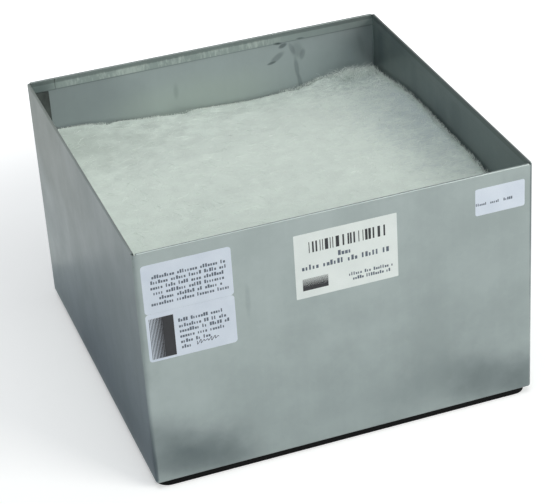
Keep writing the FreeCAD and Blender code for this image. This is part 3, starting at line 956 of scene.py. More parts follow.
@dataclass
class Casing:
    """The folded sheet-metal box with its tab, ledges, grilles and the frame of the pleated panel."""

    handled_nodes: tuple[str, ...] = ("casing_wrap", "seam_tab")
    inner_nodes: tuple[str, ...] = (
        *("outlet_grille", "carbon_cover_grille", "panel_outlet_guard", "panel_inlet_guard"),
        *(f"{part}_{side}" for part in ("ledge", "panel_side") for side in SIDES),
    )
    # Real stains, and painted shade and painted light, on the casing's sheet.
    stains_and_painted_light: tuple[TonePatch, ...] = (
        # Soft darker patches low on the labelled wall, most at its lower corners: a painted reflection of the
        # floor's shade.
        *wall_patches(
            (-146.5, 8.0),
            (-112.0, 22.0, 42.0, 30.0, 0.78),
            (-140.0, 36.0, 40.0, 34.0, 0.46),
            (-88.0, 13.0, 34.0, 16.0, 0.40),
            (60.0, 32.0, 105.0, 32.0, 0.26),
            (100.0, 120.0, 160.0, 120.0, 0.12),
            (112.0, 22.0, 40.0, 30.0, 0.52),
            (144.0, 14.0, 30.0, 32.0, 0.55),
            # Painted shade: a darker band round its foot.
            (0.0, 4.0, 230.0, 125.0, 0.20, 0.9),
        ),
        # A faint run down it.
        *wall_patches((-146.5, 6.0), (-69.0, 138.0, 2.6, 16.0, 0.14, 0.8)),
        # Inside the back wall: a darker patch at its upper left, painted light over the whole face and,
        # greener, just above the wadding, then a run of flux and small marks.
        *wall_patches(
            (145.5, 0.65),
            (-112.0, 178.0, 70.0, 50.0, 0.42, 0.7, 24.0),
            (0.0, 165.0, 420.0, 300.0, 0.28, 0.9, 0.0, "#C2C8D0"),
            (-10.0, 150.0, 95.0, 26.0, 0.34, 0.9, 0.0, "#BCC8BC"),
            (78.0, 174.5, 6.5, 9.0, 0.24, 0.7, -20.0),
            (76.8, 159.0, 2.5, 11.0, 0.34, 0.6, -5.0),
            (79.0, 146.0, 2.3, 9.0, 0.34, 0.6, -8.0),
            (73.5, 177.0, 2.4, 7.0, 0.26, 0.6, -22.0),
            (82.5, 170.0, 2.8, 6.0, 0.28, 0.6, 14.0),
            (60.5, 171.5, 8.0, 3.2, 0.38, 0.6, -32.0),
        ),
        *wall_patches((145.0, 0.9), (81.0, 185.0, 5.0, 0.9, 0.70, 0.6, 4.0)),
        *wall_patches(
            (145.5, 0.65),
            (134.0, 168.0, 3.2, 17.0, 0.15, 1.0, -12.0),
            (124.0, 160.0, 4.0, 14.0, 0.22, 0.9, -10.0, "#A6B0B6"),
            (55.5, 167.6, 4.6, 1.3, 0.62, 0.6, -10.0),
        ),
        *wall_patches((145.0, 0.9), (61.5, 184.0, 5.5, 2.0, 0.95, 0.6, 10.0)),
        *wall_patches(
            (145.5, 0.65),
            (66.0, 181.0, 4.5, 2.2, 0.62, 0.6, -20.0),
            (-27.0, 160.0, 3.0, 9.0, 0.20, 0.8),
        ),
        # Painted shade over the inside of the right wall, which faces away from the key lamp, and runs in it.
        TonePatch((145.0, 0.0, 159.0), (1.2, 240.0, 120.0), 0.66, 0.45),
        TonePatch((145.5, -18.0, 172.0), (0.75, 13.0, 22.0), 0.26, 0.8),
        TonePatch((145.5, 12.0, 160.0), (0.75, 14.0, 18.0), 0.24, 0.8),
        TonePatch((145.5, 62.0, 166.0), (0.75, 9.0, 30.0), 0.22, 0.8),
        TonePatch((145.5, 131.0, 160.0), (0.9, 7.0, 60.0), 0.26, 0.8),
        # Painted shade down the corner between the back and right walls.
        TonePatch((145.4, 145.4, 159.0), (2.6, 2.6, 70.0), 0.16, 0.9),
        # Painted shade: the left wall is darker towards its top, and darker and greener still at its back.
        TonePatch((-146.5, 0.0, 195.0), (6.0, 380.0, 185.0), 0.32, 0.9),
        TonePatch((-146.5, 120.0, 175.0), (6.0, 170.0, 80.0), 0.40, 0.9, tone="#7A8274"),
        # The lap and the tab in the seam's corner.
        TonePatch((-139.0, 143.8, 186.0), (18.0, 2.0, 12.0), 0.60, 0.8),
    )

    def build(self) -> None:
        """Gives the sheet-metal nodes their finish."""
        dress(self.handled_nodes, GalvanisedSteel(stains_and_painted_light=self.stains_and_painted_light, hem=HemWearAndShade()).make())
        dress(self.inner_nodes, GalvanisedSteel(name="galvanised_steel_inner", cloud_mm=30.0).make())
        dress(("seam_sealant",), BUTYL_MASTIC.make())


@dataclass
class Seals:
    """The foam gaskets under the casing and under the pleated panel."""

    nodes: tuple[str, ...] = ("base_gasket", "panel_gasket")

    def build(self) -> None:
        """Gives the foam nodes their finish."""
        dress(self.nodes, NEOPRENE_FOAM.make())


@dataclass
class Scrim:
    """A sheet of spunbond that holds the carbon back behind a grille, and sags a little into its openings."""

    name: str
    node: str
    rests_on: str
    pitch_mm: float = 22.0
    opening_mm: float = 16.0
    dip_mm: float = 0.7
    thickness_mm: float = 0.3
    spacing_mm: float = 1.8
    inset_mm: float = 0.2

    def build(self, material: Material) -> None:
        """Makes the sheet, level over the bars: z = base - dip * cos^2 * cos^2 about each opening's centre.

        Args:
            material: its finish.
        """
        low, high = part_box(self.node)
        half = high.x - self.inset_mm * MM
        line = np.linspace(-half, half, int(round(2 * half / (self.spacing_mm * MM))) + 1)
        pitch, opening = self.pitch_mm * MM, self.opening_mm * MM
        offset = np.abs(line % pitch - pitch / 2) / (opening / 2)
        bowl = np.cos(np.clip(offset, 0, 1) * math.pi / 2) ** 2
        x, y = np.meshgrid(line, line)
        z = low.z + self.thickness_mm * MM - self.dip_mm * MM * np.outer(bowl, bowl)
        points = np.stack([x, y, z], -1).reshape(-1, 3)
        mesh = make_mesh(self.name, points, [grid_faces(*x.shape)])
        piece = place_piece(self.name, mesh, material, CARTRIDGE, (self.node,))
        solid = piece.modifiers.new("thickness", "SOLIDIFY")
        solid.thickness, solid.offset = self.thickness_mm * MM, -1.0


@dataclass
class FilterStages:
    """What the air passes: carbon bed with its scrims, and the pleated panel's paper, beads and potting."""

    def build(self) -> None:
        """Makes the scrims and gives the other nodes their finishes."""
        cloth = SPUNBOND_SCRIM.make()
        Scrim("outlet_scrim_cloth", "outlet_scrim", "outlet_grille").build(cloth)
        Scrim("carbon_cover_scrim_cloth", "carbon_cover_scrim", "carbon_bed", dip_mm=0.0).build(cloth)
        for node, finish in (
            ("carbon_bed", CARBON_GRANULES),
            ("pack_potting", POTTING_RESIN),
            ("pleated_media", GLASS_PAPER),
            ("pleat_separators", HOT_MELT),
        ):
            dress((node,), finish.make())


# ---------------------------------------------------------------- wadding pad


@dataclass(frozen=True)
class Swell:
    """A soft hump, or a hollow where its rise is negative, on the pad's top."""

    centre_mm: Pair
    reach_mm: Pair
    rise_mm: float

    def at(self, x: np.ndarray, y: np.ndarray) -> np.ndarray:
        """Its height in metres at each place: a bell, rise * exp(-(dx/rx)^2 - (dy/ry)^2)."""
        dx, dy = ((c - m * MM) / (r * MM) for c, m, r in zip((x, y), self.centre_mm, self.reach_mm))
        return self.rise_mm * MM * np.exp(-(dx**2) - dy**2)


@dataclass(frozen=True)
class HeightMap:
    """The highest points of a mesh over a square grid of cells."""

    half: float
    heights: np.ndarray

    @classmethod
    def of(cls, points: np.ndarray, half: float, cells: int) -> "HeightMap":
        """Finds the highest vertex in each cell.

        Args:
            points: the vertices, (n, 3).
            half: half the square's side.
            cells: how many cells it has each way.

        Returns:
            The map. A cell without a vertex has the middle height.
        """
        i, j = np.clip(((points[:, :2] + half) / (2 * half) * cells).astype(int), 0, cells - 1).T
        heights = np.full((cells, cells), -1.0)
        np.maximum.at(heights, (i, j), points[:, 2])
        heights[heights < 0] = np.median(heights[heights > 0])
        return cls(half, heights)

    def at(self, x: np.ndarray, y: np.ndarray) -> np.ndarray:
        """The height at each place, blended straight between the middles of the four nearest cells.

        Args:
            x: in metres.
            y: in metres.

        Returns:
            The heights.
        """
        cells = len(self.heights)
        u, v = (np.clip((c + self.half) / (2 * self.half) * cells - 0.5, 0, cells - 1.001) for c in (x, y))
        i, j = u.astype(int), v.astype(int)
        a, b = u - i, v - j
        near = self.heights[i, j] * (1 - a) * (1 - b) + self.heights[i + 1, j] * a * (1 - b)
        return near + self.heights[i, j + 1] * (1 - a) * b + self.heights[i + 1, j + 1] * a * b


# A direction that hardly any fibre follows, to square a tube's outline to its path.
ODD_AXIS = (0.31, 0.17, 0.94)


class Lay(Enum):
    """How loose fibres lie."""

    FLAT = "flat"
    FRINGE = "fringe"
    TUFT = "tuft"


@dataclass(frozen=True)
class Fibres:
    """A set of loose fibres on the pad.

    A real one is about 0.03 mm thick, and these are thicker, so that they show. They keep inside a square
    that is past_mm larger than the pad on each side. Flat ones turn by about veer radians and are bedded in
    the top. A fringe has side_shares of its ends at the right, the back, the left and the front. They stand
    near the border, and tall says how high at the right, at the back past back_from_mm, and elsewhere.
    """

    name: str
    lay: Lay
    count: int
    length_mm: Pair
    thickness_mm: float
    seed: int
    centre_mm: Pair = (0.0, 0.0)
    spread_mm: Pair = (0.0, 0.0)
    past_mm: float = -1.0
    knots: int = 4
    lift_mm: Pair = (0.1, 0.9)
    veer: float = 1.1
    bedded_mm: float = 0.35
    side_shares: Four = (0.44, 0.32, 0.12, 0.12)
    inset_mm: float = 2.2
    fading_mm: float = 7.0
    back_from_mm: float = 60.0
    tall: Triple = (1.15, 0.9, 0.15)
    rooted_mm: float = 1.0
    leans: Pair = (0.8, 0.6)
    curl_degrees: float = 75.0
    tip: float = 0.35

    def flat_paths(self, top: HeightMap, reach: float) -> np.ndarray:
        """Arcs that lie on the top: the heading turns steadily and z = top + lift * sin(pi t) - a little.

        Args:
            top: the pad's top.
            reach: how far from the middle a fibre may get, in metres.

        Returns:
            The fibres' points, (count, knots, 3).
        """
        draw = default_rng(self.seed)
        n, t = self.count, np.linspace(0, 1, self.knots)
        length = draw.uniform(*self.length_mm, n)[:, None] * MM
        heading = draw.uniform(0, 2 * math.pi, n)[:, None] + draw.normal(0, self.veer, n)[:, None] * (t - 0.5)
        step = length / (self.knots - 1)
        x = draw.uniform(-reach, reach, n)[:, None] + np.cumsum(np.cos(heading) * step, axis=1)
        y = draw.uniform(-reach, reach, n)[:, None] + np.cumsum(np.sin(heading) * step, axis=1)
        x, y = np.clip(x, -reach, reach), np.clip(y, -reach, reach)
        lift = draw.uniform(*self.lift_mm, n)[:, None] * MM
        z = top.at(x, y) + lift * np.sin(math.pi * t) - self.bedded_mm * MM
        return np.stack([x, y, z], -1)

    def roots(self, draw: Generator, reach: float) -> tuple[np.ndarray, np.ndarray, np.ndarray]:
        """Where standing fibres grow: along the border, or spread about a centre.

        Args:
            draw: the random draws.
            reach: how far from the middle a fibre may get, in metres.

        Returns:
            Their x, their y, and how tall each may be as a share of the full height.
        """
        n = self.count
        if self.lay is Lay.TUFT:
            x, y = (draw.normal(c * MM, s * MM, n) for c, s in zip(self.centre_mm, self.spread_mm))
            return x, y, np.ones(n)
        side = draw.choice(4, size=n, p=self.side_shares)
        along = draw.uniform(-reach, reach, n)
        inset = draw.exponential(self.inset_mm, n) * MM
        edge = reach - inset
        x = np.choose(side, (edge, along, -edge, along))
        y = np.choose(side, (along, edge, along, -edge))
        right, back, rest = self.tall
        tall = np.where(side == 0, right, np.where((side == 1) & (x > self.back_from_mm * MM), back, rest))
        return x, y, np.exp(-inset / (self.fading_mm * MM)) * tall

    def standing_paths(self, top: HeightMap, reach: float) -> np.ndarray:
        """Ends that stand up from the pad and lean: a straight rise plus a sideways bow of t squared.

        Args:
            top: the pad's top.
            reach: how far from the middle a fibre may get, in metres.

        Returns:
            The fibres' points, (count, knots, 3).
        """
        draw = default_rng(self.seed)
        n, t = self.count, np.linspace(0, 1, self.knots)
        x, y, share = self.roots(draw, reach)
        x, y = np.clip(x, -reach, reach), np.clip(y, -reach, reach)
        rise = draw.uniform(*self.length_mm, n) * MM * share
        lean, bow = (draw.normal(0, spread, (n, 2)) * rise[:, None] for spread in self.leans)
        px = x[:, None] + lean[:, :1] * t + bow[:, :1] * t**2
        py = y[:, None] + lean[:, 1:] * t + bow[:, 1:] * t**2
        sunk = self.rooted_mm * MM
        curl = np.sin(t * math.radians(self.curl_degrees))
        pz = top.at(x, y)[:, None] - sunk + (rise[:, None] + sunk) * curl
        return np.stack([np.clip(px, -reach, reach), np.clip(py, -reach, reach), pz], -1)

    def build(self, top: HeightMap, side: float, material: Material) -> None:
        """Makes the fibres as one mesh of three-sided tubes, radius = r * (tip + (1 - tip) * sin(pi t)).

        Args:
            top: the pad's top.
            side: how far from the middle the pad's sides are, in metres.
            material: the fibres' finish.
        """
        lie = self.flat_paths if self.lay is Lay.FLAT else self.standing_paths
        paths = lie(top, side + self.past_mm * MM)
        n, k, _ = paths.shape
        heading = unit(np.gradient(paths, axis=1))
        across = unit(np.cross(heading, ODD_AXIS))
        rise = np.cross(heading, across)
        t = np.linspace(0, 1, k)
        radius = self.thickness_mm * MM / 2 * (self.tip + (1 - self.tip) * np.sin(math.pi * t))
        corners = [
            paths + radius[:, None] * (across * math.cos(turn) + rise * math.sin(turn))
            for turn in (0.0, 2 * math.pi / 3, 4 * math.pi / 3)
        ]
        points = np.stack(corners, 2).reshape(-1, 3)
        tube = grid_faces(k, 3, closed=True)
        ends = np.array([[2, 1, 0], [3 * k - 3, 3 * k - 2, 3 * k - 1]])
        start = np.arange(n)[:, None, None] * 3 * k
        faces = [(start + tube).reshape(-1, 4), (start + ends).reshape(-1, 3)]
        place_piece(self.name, make_mesh(self.name, points, faces, smooth=False), material, PAD)


@dataclass
class WaddingPad:
    """The loose pad of polyester wadding that lies on the pleated panel.

    The lumps are each a height, a size and a seed: those of the whole top, of a torn corner and of the border
    along the right and back walls.
    """

    plateau_mm: float = 28.2
    edge_radius_mm: float = 1.5
    underside_roll: float = 0.3
    pressed_mm: float = 0.5
    rounding_mm: float = 5.0
    squaring: float = 0.8
    squared_from: float = 0.7
    swells: tuple[Swell, ...] = (
        Swell((30.0, -20.0), (130.0, 110.0), 4.3),
        Swell((36.0, 150.0), (76.0, 56.0), -11.5),
        Swell((-58.0, 150.0), (46.0, 46.0), -4.5),
        Swell((143.0, 35.0), (46.0, 72.0), 3.2),
        Swell((118.0, 116.0), (20.0, 12.0), -2.5),
        Swell((142.0, 150.0), (24.0, 40.0), -3.0),
    )
    lumps: tuple[tuple[float, float, int], ...] = ((1.0, 40.0, 3), (0.36, 15.0, 4), (0.22, 6.5, 5))
    torn: Swell = Swell((122.0, 126.0), (20.0, 13.0), 2.2)
    torn_lumps: tuple[float, int] = (7.0, 6)
    border_mm: float = 6.0
    border_lumps: tuple[float, float, int] = (1.3, 5.0, 7)
    border_back_mm: Pair = (45.0, 30.0)
    border_least: float = 0.15
    grid: int = 97
    voxel_mm: float = 4.5
    pressure: float = 4.0
    frames: int = 20
    cap_mm: float = 6.0
    settling_cells: int = 44
    top_cells: int = 96
    fibres: tuple[Fibres, ...] = (
        Fibres("wadding_surface_fibres", Lay.FLAT, 3600, (5.0, 15.0), 0.15, 21, knots=5),
        Fibres("wadding_fringe_fibres", Lay.FRINGE, 4400, (1.0, 3.2), 0.2, 22, past_mm=0.8),
        Fibres("wadding_loose_fibres_right", Lay.TUFT, 2200, (0.8, 2.6), 0.2, 23, (128, 55), (30, 70)),
        Fibres("wadding_loose_fibres_corner", Lay.TUFT, 420, (2.0, 6.5), 0.2, 24, (122, 136), (9, 5)),
    )

    def build(self) -> None:
        """Makes the pad and its loose fibres."""
        low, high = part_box("wadding_pad")
        mesh = self.body(low, high)
        top = HeightMap.of(read_vertices(mesh), high.x, self.top_cells)
        pad = place_piece("wadding_batt", mesh, PolyesterWadding().make(), PAD, ("wadding_pad",))
        loose = POLYESTER_FIBRE.make()
        for fibres in self.fibres:
            fibres.build(top, high.x, loose)

    def top(self, points: np.ndarray) -> np.ndarray:
        """The top's height over the pad's base: a plateau and the swells.

        Args:
            points: where to work it out, (..., 2) or (..., 3), in metres.

        Returns:
            The heights, in metres.
        """
        x, y = points[..., 0], points[..., 1]
        height = np.full_like(x, self.plateau_mm * MM)
        for swell in self.swells:
            height += swell.at(x, y)
        return height

    def squared(self, points: np.ndarray, base: float, half: float) -> np.ndarray:
        """Pushes the rounded upper edge out towards the corner that it was rounded from.

        With d the distance inside the side, h the depth under the top and r the rounding, the point (u, v) =
        (1 - d/r, 1 - h/r) lies on the unit circle along the edge. It moves a share of the way to
        (u, v) / max(u, v), on the square. On the circle max(u, v) is never under 0.7.

        Args:
            points: the pad's vertices, (n, 3).
            base: the height of its underside.
            half: half its side.

        Returns:
            The vertices, with the edge fuller.
        """
        points = points.copy()
        radius = self.rounding_mm * MM
        out = np.abs(points[:, :2])
        axis = out.argmax(1)
        row = np.arange(len(points))
        wanted = base + self.top(points)
        u = 1 - (half - out[row, axis]) / radius
        v = 1 - (wanted - points[:, 2]) / radius
        near = (u > 0) & (v > 0)
        grow = 1 + (1 / np.maximum(np.maximum(u, v), self.squared_from) - 1) * self.squaring
        sign = np.sign(points[row, axis])
        points[row, axis] = np.where(near, sign * (half - radius * (1 - u * grow)), points[row, axis])
        points[:, 2] = np.where(near, wanted - radius * (1 - v * grow), points[:, 2])
        return points

    def blank(self, base: float, half: float) -> Mesh:
        """The batt as cut, before it swells: its top rolls off to the sides with a quarter circle.

        Args:
            base: the height of its underside.
            half: half its side.

        Returns:
            A closed mesh.
        """
        room, radius = 0.5 * self.cap_mm * MM, self.edge_radius_mm * MM
        line = np.linspace(-half, half, self.grid)
        level = np.stack(np.meshgrid(line, line), -1)
        edge = np.clip(half - np.abs(level).max(-1), 0, radius)
        roll = radius - np.sqrt(np.maximum(radius**2 - (radius - edge) ** 2, 0))
        over = base + self.top(level) - room - roll
        under = base + self.underside_roll * roll
        sheets = [np.dstack([level, height]).reshape(-1, 3) for height in (over, under)]
        return make_mesh("wadding_blank", np.concatenate(sheets), closed_slab_faces(self.grid, self.grid))

    def swell(self, work: Object) -> np.ndarray:
        """Blows the batt up by cloth simulation, keeps only each point's rise and fall so that its sides stay
        put, and caps its rise.

        Args:
            work: the batt, evenly meshed.

        Returns:
            Its swelled vertices.
        """
        before = read_vertices(work.data)
        scene = bpy.context.scene
        cloth = work.modifiers.new("swell", "CLOTH")
        cloth.settings.use_pressure = True
        cloth.settings.uniform_pressure_force = self.pressure
        cloth.settings.effector_weights.gravity = 0.0
        cloth.point_cache.frame_start, cloth.point_cache.frame_end = 1, self.frames
        for number in range(1, self.frames + 1):
            scene.frame_set(number)
        move = read_vertices(evaluated(work)) - before
        move[:, :2] = 0.0
        work.modifiers.clear()
        scene.frame_set(1)
        far = np.linalg.norm(move, axis=1, keepdims=True)
        log.info("wadding swelled by %.1f mm at most, and is capped at %.1f", far.max() / MM, self.cap_mm)
        return before + move * np.minimum(1.0, self.cap_mm * MM / np.maximum(far, TINY))

    def settled(self, points: np.ndarray, base: float, half: float) -> np.ndarray:
        """Brings the swelled batt to its heights in the recess: each point moves by its share of the depth.

        Args:
            points: its vertices, (n, 3).
            base: the height of its underside.
            half: half its side.

        Returns:
            The vertices, settled.
        """
        points[:, :2] = np.clip(points[:, :2], -half, half)
        points[:, 2] = np.maximum(points[:, 2], base)
        swelled = HeightMap.of(points, half, self.settling_cells).at(points[:, 0], points[:, 1])
        share = np.clip((points[:, 2] - base) / (swelled - base), 0, 1)
        points[:, 2] += (base + self.top(points) - swelled) * share
        return points

    def roughness(self, points: np.ndarray, half: float) -> np.ndarray:
        """How far each point stands out of the smooth batt: lumps all over, more where it is pulled loose.

        Args:
            points: its vertices, (n, 3).
            half: half its side.

        Returns:
            One number for each point, in metres.
        """
        lumps = sum(height * MM * value_noise(points, size * MM, seed) for height, size, seed in self.lumps)
        size, seed = self.torn_lumps
        lumps += self.torn.at(points[:, 0], points[:, 1]) * value_noise(points, size * MM, seed)
        right, back = np.exp(-(((half - points[:, :2].T) / (self.border_mm * MM)) ** 2))
        start, run = self.border_back_mm
        border = np.maximum(right, back * np.clip((points[:, 0] / MM - start) / run, self.border_least, 1.0))
        height, size, seed = self.border_lumps
        return lumps + height * MM * border * value_noise(points, size * MM, seed)

    def body(self, low: Vector, high: Vector) -> Mesh:
        """Swells the blank, settles it in the recess, fills out its edge and roughens it along its normals.

        Args:
            low: the CAD pad's lowest corner.
            high: its highest corner.

        Returns:
            The finished mesh.
        """
        half = high.x + self.pressed_mm * MM
        work = link_object("wadding_work", self.blank(low.z, half))
        remesh = work.modifiers.new("even", "REMESH")
        remesh.mode, remesh.voxel_size = "VOXEL", self.voxel_mm * MM
        work.data = evaluated(work)
        work.modifiers.clear()
        move_vertices(work.data, self.settled(self.swell(work), low.z, half))
        finer = work.modifiers.new("finer", "SUBSURF")
        finer.levels = finer.render_levels = 1
        mesh = evaluated(work)
        bpy.data.objects.remove(work)
        points = self.squared(read_vertices(mesh), low.z, half)
        move_vertices(mesh, points)
        points += read_vertices(mesh, "normal") * self.roughness(points, half)[:, None]
        points[:, :2] = np.clip(points[:, :2], -half, half)
        points[:, 2] = np.clip(points[:, 2], low.z, high.z)
        mesh.polygons.foreach_set("use_smooth", np.full(len(mesh.polygons), True))
        move_vertices(mesh, points)
        return mesh


# ---------------------------------------------------------------- labels


class Mark(Enum):
    """What a printed place on a label is filled with."""

    WORDS = "words"
    CODE = "code"
    BLOCK = "block"
    FADE = "fade"
    SWEEP = "sweep"


class Tone(Enum):
    """Which of a label's two inks a place is printed in."""

    BLACK = 0
    GREY = 1


@dataclass(frozen=True)
class Print:
    """One printed place: x from and to, z from and to, in millimetres in the row frame.

    A letter's pitch, widths and heights are shares of the place's height, and a word has its letters and the
    space after it. Bars are one or more modules wide.
    """

    mark: Mark
    left: float
    right: float
    low: float
    high: float
    tone: Tone = Tone.GREY
    letter_pitch: float = 0.62
    letter_widths: tuple[float, ...] = (0.30, 0.42, 0.48)
    letter_heights: tuple[float, ...] = (0.62, 0.62, 0.95)
    word_cells: tuple[int, int] = (3, 10)
    module: float = 0.62
    bar_modules: tuple[int, ...] = (1, 1, 2, 2, 3, 4)
    bar_edges: int = 200
    lines: int = 10

    def words(self, draw: Generator) -> np.ndarray:
        """Plain upright blocks, one for each letter of a word and none for a space, low or tall at random.

        Args:
            draw: the random draws.

        Returns:
            (n, 4), each x from, x to, z from and z to, in millimetres.
        """
        height = self.high - self.low
        cell = self.letter_pitch * height
        count = int((self.right - self.left) / cell)
        spaces = np.cumsum(draw.integers(*self.word_cells, size=count))
        kept = np.setdiff1d(np.arange(count), spaces)
        left = self.left + kept * cell
        width = draw.choice(self.letter_widths, size=len(kept)) * height
        tall = draw.choice(self.letter_heights, size=len(kept)) * height
        level = np.full(len(kept), self.low)
        return np.column_stack([left, left + width, level, level + tall])

    def code(self, draw: Generator) -> np.ndarray:
        """Upright bars one to four modules wide, with random gaps, that carry no number.

        Args:
            draw: the random draws.

        Returns:
            (n, 4), as words gives.
        """
        edges = np.cumsum(draw.choice(self.bar_modules, size=self.bar_edges)) * self.module
        edges = edges[edges < self.right - self.left]
        edges = edges[: len(edges) // 2 * 2].reshape(-1, 2) + self.left
        level = np.ones(len(edges))
        return np.column_stack([edges, level * self.low, level * self.high])

    def graded(self) -> np.ndarray:
        """Lines that thicken step by step, down the place or across it.

        Their thickness is pitch * (0.4 + 0.6 t), with t from 0 at the first line towards 1 at the last.

        Returns:
            (n, 4), as words gives.
        """
        number, level = np.arange(self.lines), np.ones(self.lines)
        t = number / self.lines
        if self.mark is Mark.FADE:
            pitch = (self.high - self.low) / self.lines
            upper = self.high - number * pitch
            lower = upper - pitch * (0.4 + 0.6 * t)
            return np.column_stack([level * self.left, level * self.right, lower, upper])
        pitch = (self.right - self.left) / self.lines
        start = self.left + number * pitch
        left = start + pitch * (0.6 - 0.6 * t)
        return np.column_stack([left, start + pitch, level * self.low, level * self.high])

    def blocks(self, draw: Generator) -> np.ndarray:
        """The blocks of ink in this place.

        Args:
            draw: the random draws.

        Returns:
            (n, 4), as words gives.
        """
        if self.mark is Mark.WORDS:
            return self.words(draw)
        if self.mark is Mark.CODE:
            return self.code(draw)
        if self.mark is Mark.BLOCK:
            return np.array([[self.left, self.right, self.low, self.high]])
        return self.graded()


def type_lines(height: float, *rows: Triple) -> tuple[Print, ...]:
    """Lines of small type of one height, each with its x from, its x to and its lowest z, in millimetres."""
    return tuple(Print(Mark.WORDS, left, right, low, low + height) for left, right, low in rows)


@dataclass
class Label:
    """A paper label on the front wall with generic print: bars for words, a bar code, blocks and lines."""

    node: str
    prints: tuple[Print, ...]
    corner_mm: float
    seed: int
    crease_mm: float | None = None
    crease_depth_mm: float = 0.045
    crease_width_mm: float = 0.55
    rows: int = 121
    columns: int = 41

    def paper(self) -> Mesh:
        """The sheet: each row is as long as the rounded outline is wide there, w - 2 * (r - sqrt(r^2 - d^2)).

        Returns:
            A closed mesh, front and back.
        """
        low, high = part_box(self.node)
        radius = self.corner_mm * MM
        middle, half_width = (low.x + high.x) / 2, (high.x - low.x) / 2
        half_height = (high.z - low.z) / 2
        v = np.sin(np.linspace(-math.pi / 2, math.pi / 2, self.rows)) * half_height
        into = np.clip(np.abs(v) - (half_height - radius), 0, radius)
        width = half_width - (radius - np.sqrt(np.maximum(radius**2 - into**2, 0)))
        x = middle + width[:, None] * np.linspace(-1, 1, self.columns)[None, :]
        z = (low.z + high.z) / 2 + np.repeat(v[:, None], self.columns, 1)
        y = np.full_like(x, high.y - PAPER_MM * MM)
        if self.crease_mm is not None:
            off = (z - self.crease_mm * MM) / (self.crease_width_mm * MM)
            y -= self.crease_depth_mm * MM * np.exp(-(off**2))
        sheets = [np.stack([x, face, z], -1).reshape(-1, 3) for face in (y, np.full_like(x, high.y))]
        faces = closed_slab_faces(self.rows, self.columns)
        return make_mesh(self.node + "_paper", np.concatenate(sheets), faces, smooth=False)

    def build(self, paper: Material, inks: Sequence[Material]) -> None:
        """Makes the paper and its print.

        Args:
            paper: the paper's finish.
            inks: the finishes of its black and grey print.
        """
        place_piece(self.node + "_paper", self.paper(), paper, CARTRIDGE, (self.node,))
        draw = default_rng(self.seed)
        found = [place.blocks(draw) for place in self.prints]
        tones = np.concatenate([np.full(len(b) * 6, p.tone.value) for b, p in zip(found, self.prints)])
        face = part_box(self.node)[1].y - PAPER_MM * MM
        points, quads = slabs(np.concatenate(found) * MM, face - INK_GAP_MM * MM, face - INK_MM * MM)
        mesh = make_mesh(self.node + "_print", points, [quads], smooth=False)
        piece = place_piece(self.node + "_print", mesh, inks[0], CARTRIDGE)
        piece.data.materials.append(inks[1])
        mesh.polygons.foreach_set("material_index", tones.astype(np.int32))


@dataclass
class PenStroke:
    """A line of handwriting that says nothing, on one of the labels."""

    node: str = "lower_side_label"
    start_mm: Pair = (-108.0, 114.4)
    end_mm: Pair = (-91.5, 115.4)
    width_mm: float = 0.45
    swing_mm: float = 1.7
    slant: float = 0.42
    points: int = 120

    def line(self) -> Mesh:
        """The line: z swings by swing * (0.62 + 0.38 sin 11t) * sin(40t + 1.2), and x leans by a share of it.

        Returns:
            A closed, flat ribbon.
        """
        t = np.linspace(0, 1, self.points)
        swing = self.swing_mm * (0.62 + 0.38 * np.sin(11 * t)) * np.sin(40 * t + 1.2)
        (x0, z0), (x1, z1) = self.start_mm, self.end_mm
        path = np.stack([x0 + (x1 - x0) * t + self.slant * swing, z0 + (z1 - z0) * t + swing], 1) * MM
        heading = unit(np.gradient(path, axis=0))
        out = np.stack([-heading[:, 1], heading[:, 0]], 1) * self.width_mm * MM / 2
        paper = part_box(self.node)[1].y - PAPER_MM * MM
        ink = paper - INK_MM * MM
        rings = ((path - out, ink), (path + out, ink), (path + out, paper), (path - out, paper))
        corners = [np.stack([flat[:, 0], np.full(len(t), y), flat[:, 1]], 1) for flat, y in rings]
        points = np.stack(corners, 1).reshape(-1, 3)
        last = len(points) - 4
        ends = np.array([[0, 1, 2, 3], [last + 3, last + 2, last + 1, last]])
        sides = grid_faces(len(t), 4, closed=True)[:, ::-1]
        return make_mesh("pen_stroke", points, [sides, ends], smooth=False)

    def build(self) -> None:
        """Makes the line."""
        place_piece("pen_stroke", self.line(), PEN_INK.make(), CARTRIDGE)


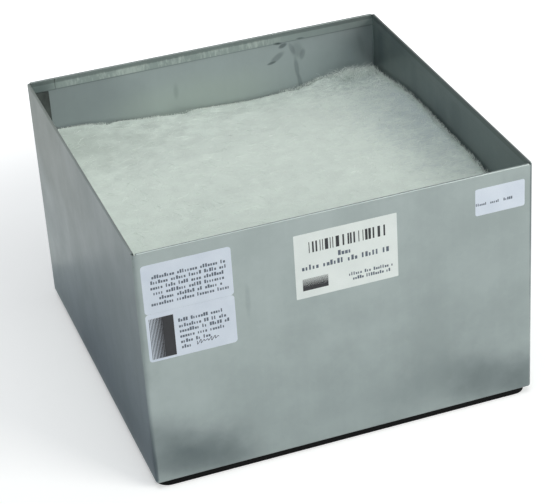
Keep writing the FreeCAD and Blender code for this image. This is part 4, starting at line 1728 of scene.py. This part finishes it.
@dataclass
class Labels:
    """The four paper labels on the front wall."""

    main: tuple[Print, ...] = (
        Print(Mark.CODE, -23.5, 37.8, 163.8, 172.4, Tone.BLACK),
        *type_lines(4.2, (-1.8, 13.0, 156.7), (-28.6, 38.3, 150.6)),
        Print(Mark.FADE, -28.7, -9.8, 137.7, 143.7, Tone.BLACK),
        Print(Mark.BLOCK, -28.7, -9.8, 134.5, 137.7, Tone.BLACK),
        *type_lines(2.7, (5.6, 39.2, 138.2), (8.4, 37.8, 134.3)),
    )
    small: tuple[Print, ...] = type_lines(
        2.3, (102.3, 112.0, 169.3), (113.4, 120.6, 169.3), (123.6, 131.0, 169.3)
    )
    upper: tuple[Print, ...] = type_lines(
        2.9,
        (-134.7, -81.4, 172.0),
        (-135.8, -81.0, 167.9),
        (-136.2, -80.7, 163.7),
        (-134.5, -82.4, 159.5),
        (-130.7, -85.6, 155.3),
        (-136.6, -80.8, 151.2),
    )
    lower: tuple[Print, ...] = (
        Print(Mark.SWEEP, -140.3, -129.6, 109.0, 141.4, Tone.BLACK),
        Print(Mark.BLOCK, -129.6, -122.4, 109.0, 141.4, Tone.BLACK),
        *type_lines(
            2.9,
            (-119.3, -85.7, 134.2),
            (-119.1, -83.2, 129.6),
            (-118.9, -82.0, 125.5),
            (-118.9, -84.5, 121.3),
            (-118.7, -96.4, 116.9),
            (-118.4, -110.5, 112.6),
        ),
    )

    def build(self) -> None:
        """Makes the four labels and the pen stroke on one of them."""
        white, blue = LABEL_WHITE.make(), LABEL_BLUE.make()
        inks = (TONER.make(), TONER_GREY.make())
        Label("main_label", self.main, 0.6, 11).build(white, inks)
        Label("small_label", self.small, 1.5, 12).build(blue, inks)
        Label("upper_side_label", self.upper, 2.5, 13, crease_mm=154.6).build(blue, inks)
        Label("lower_side_label", self.lower, 2.5, 14).build(blue, inks)
        PenStroke().build()


# ---------------------------------------------------------------- the whole


def main() -> None:
    """Builds the studio and the cartridge."""
    logging.basicConfig(level=logging.INFO, format="%(name)s: %(message)s")
    Studio().build()
    Casing().build()
    Seals().build()
    FilterStages().build()
    WaddingPad().build()
    Labels().build()
    bpy.context.view_layer.update()


if __name__ == "__main__":
    main()
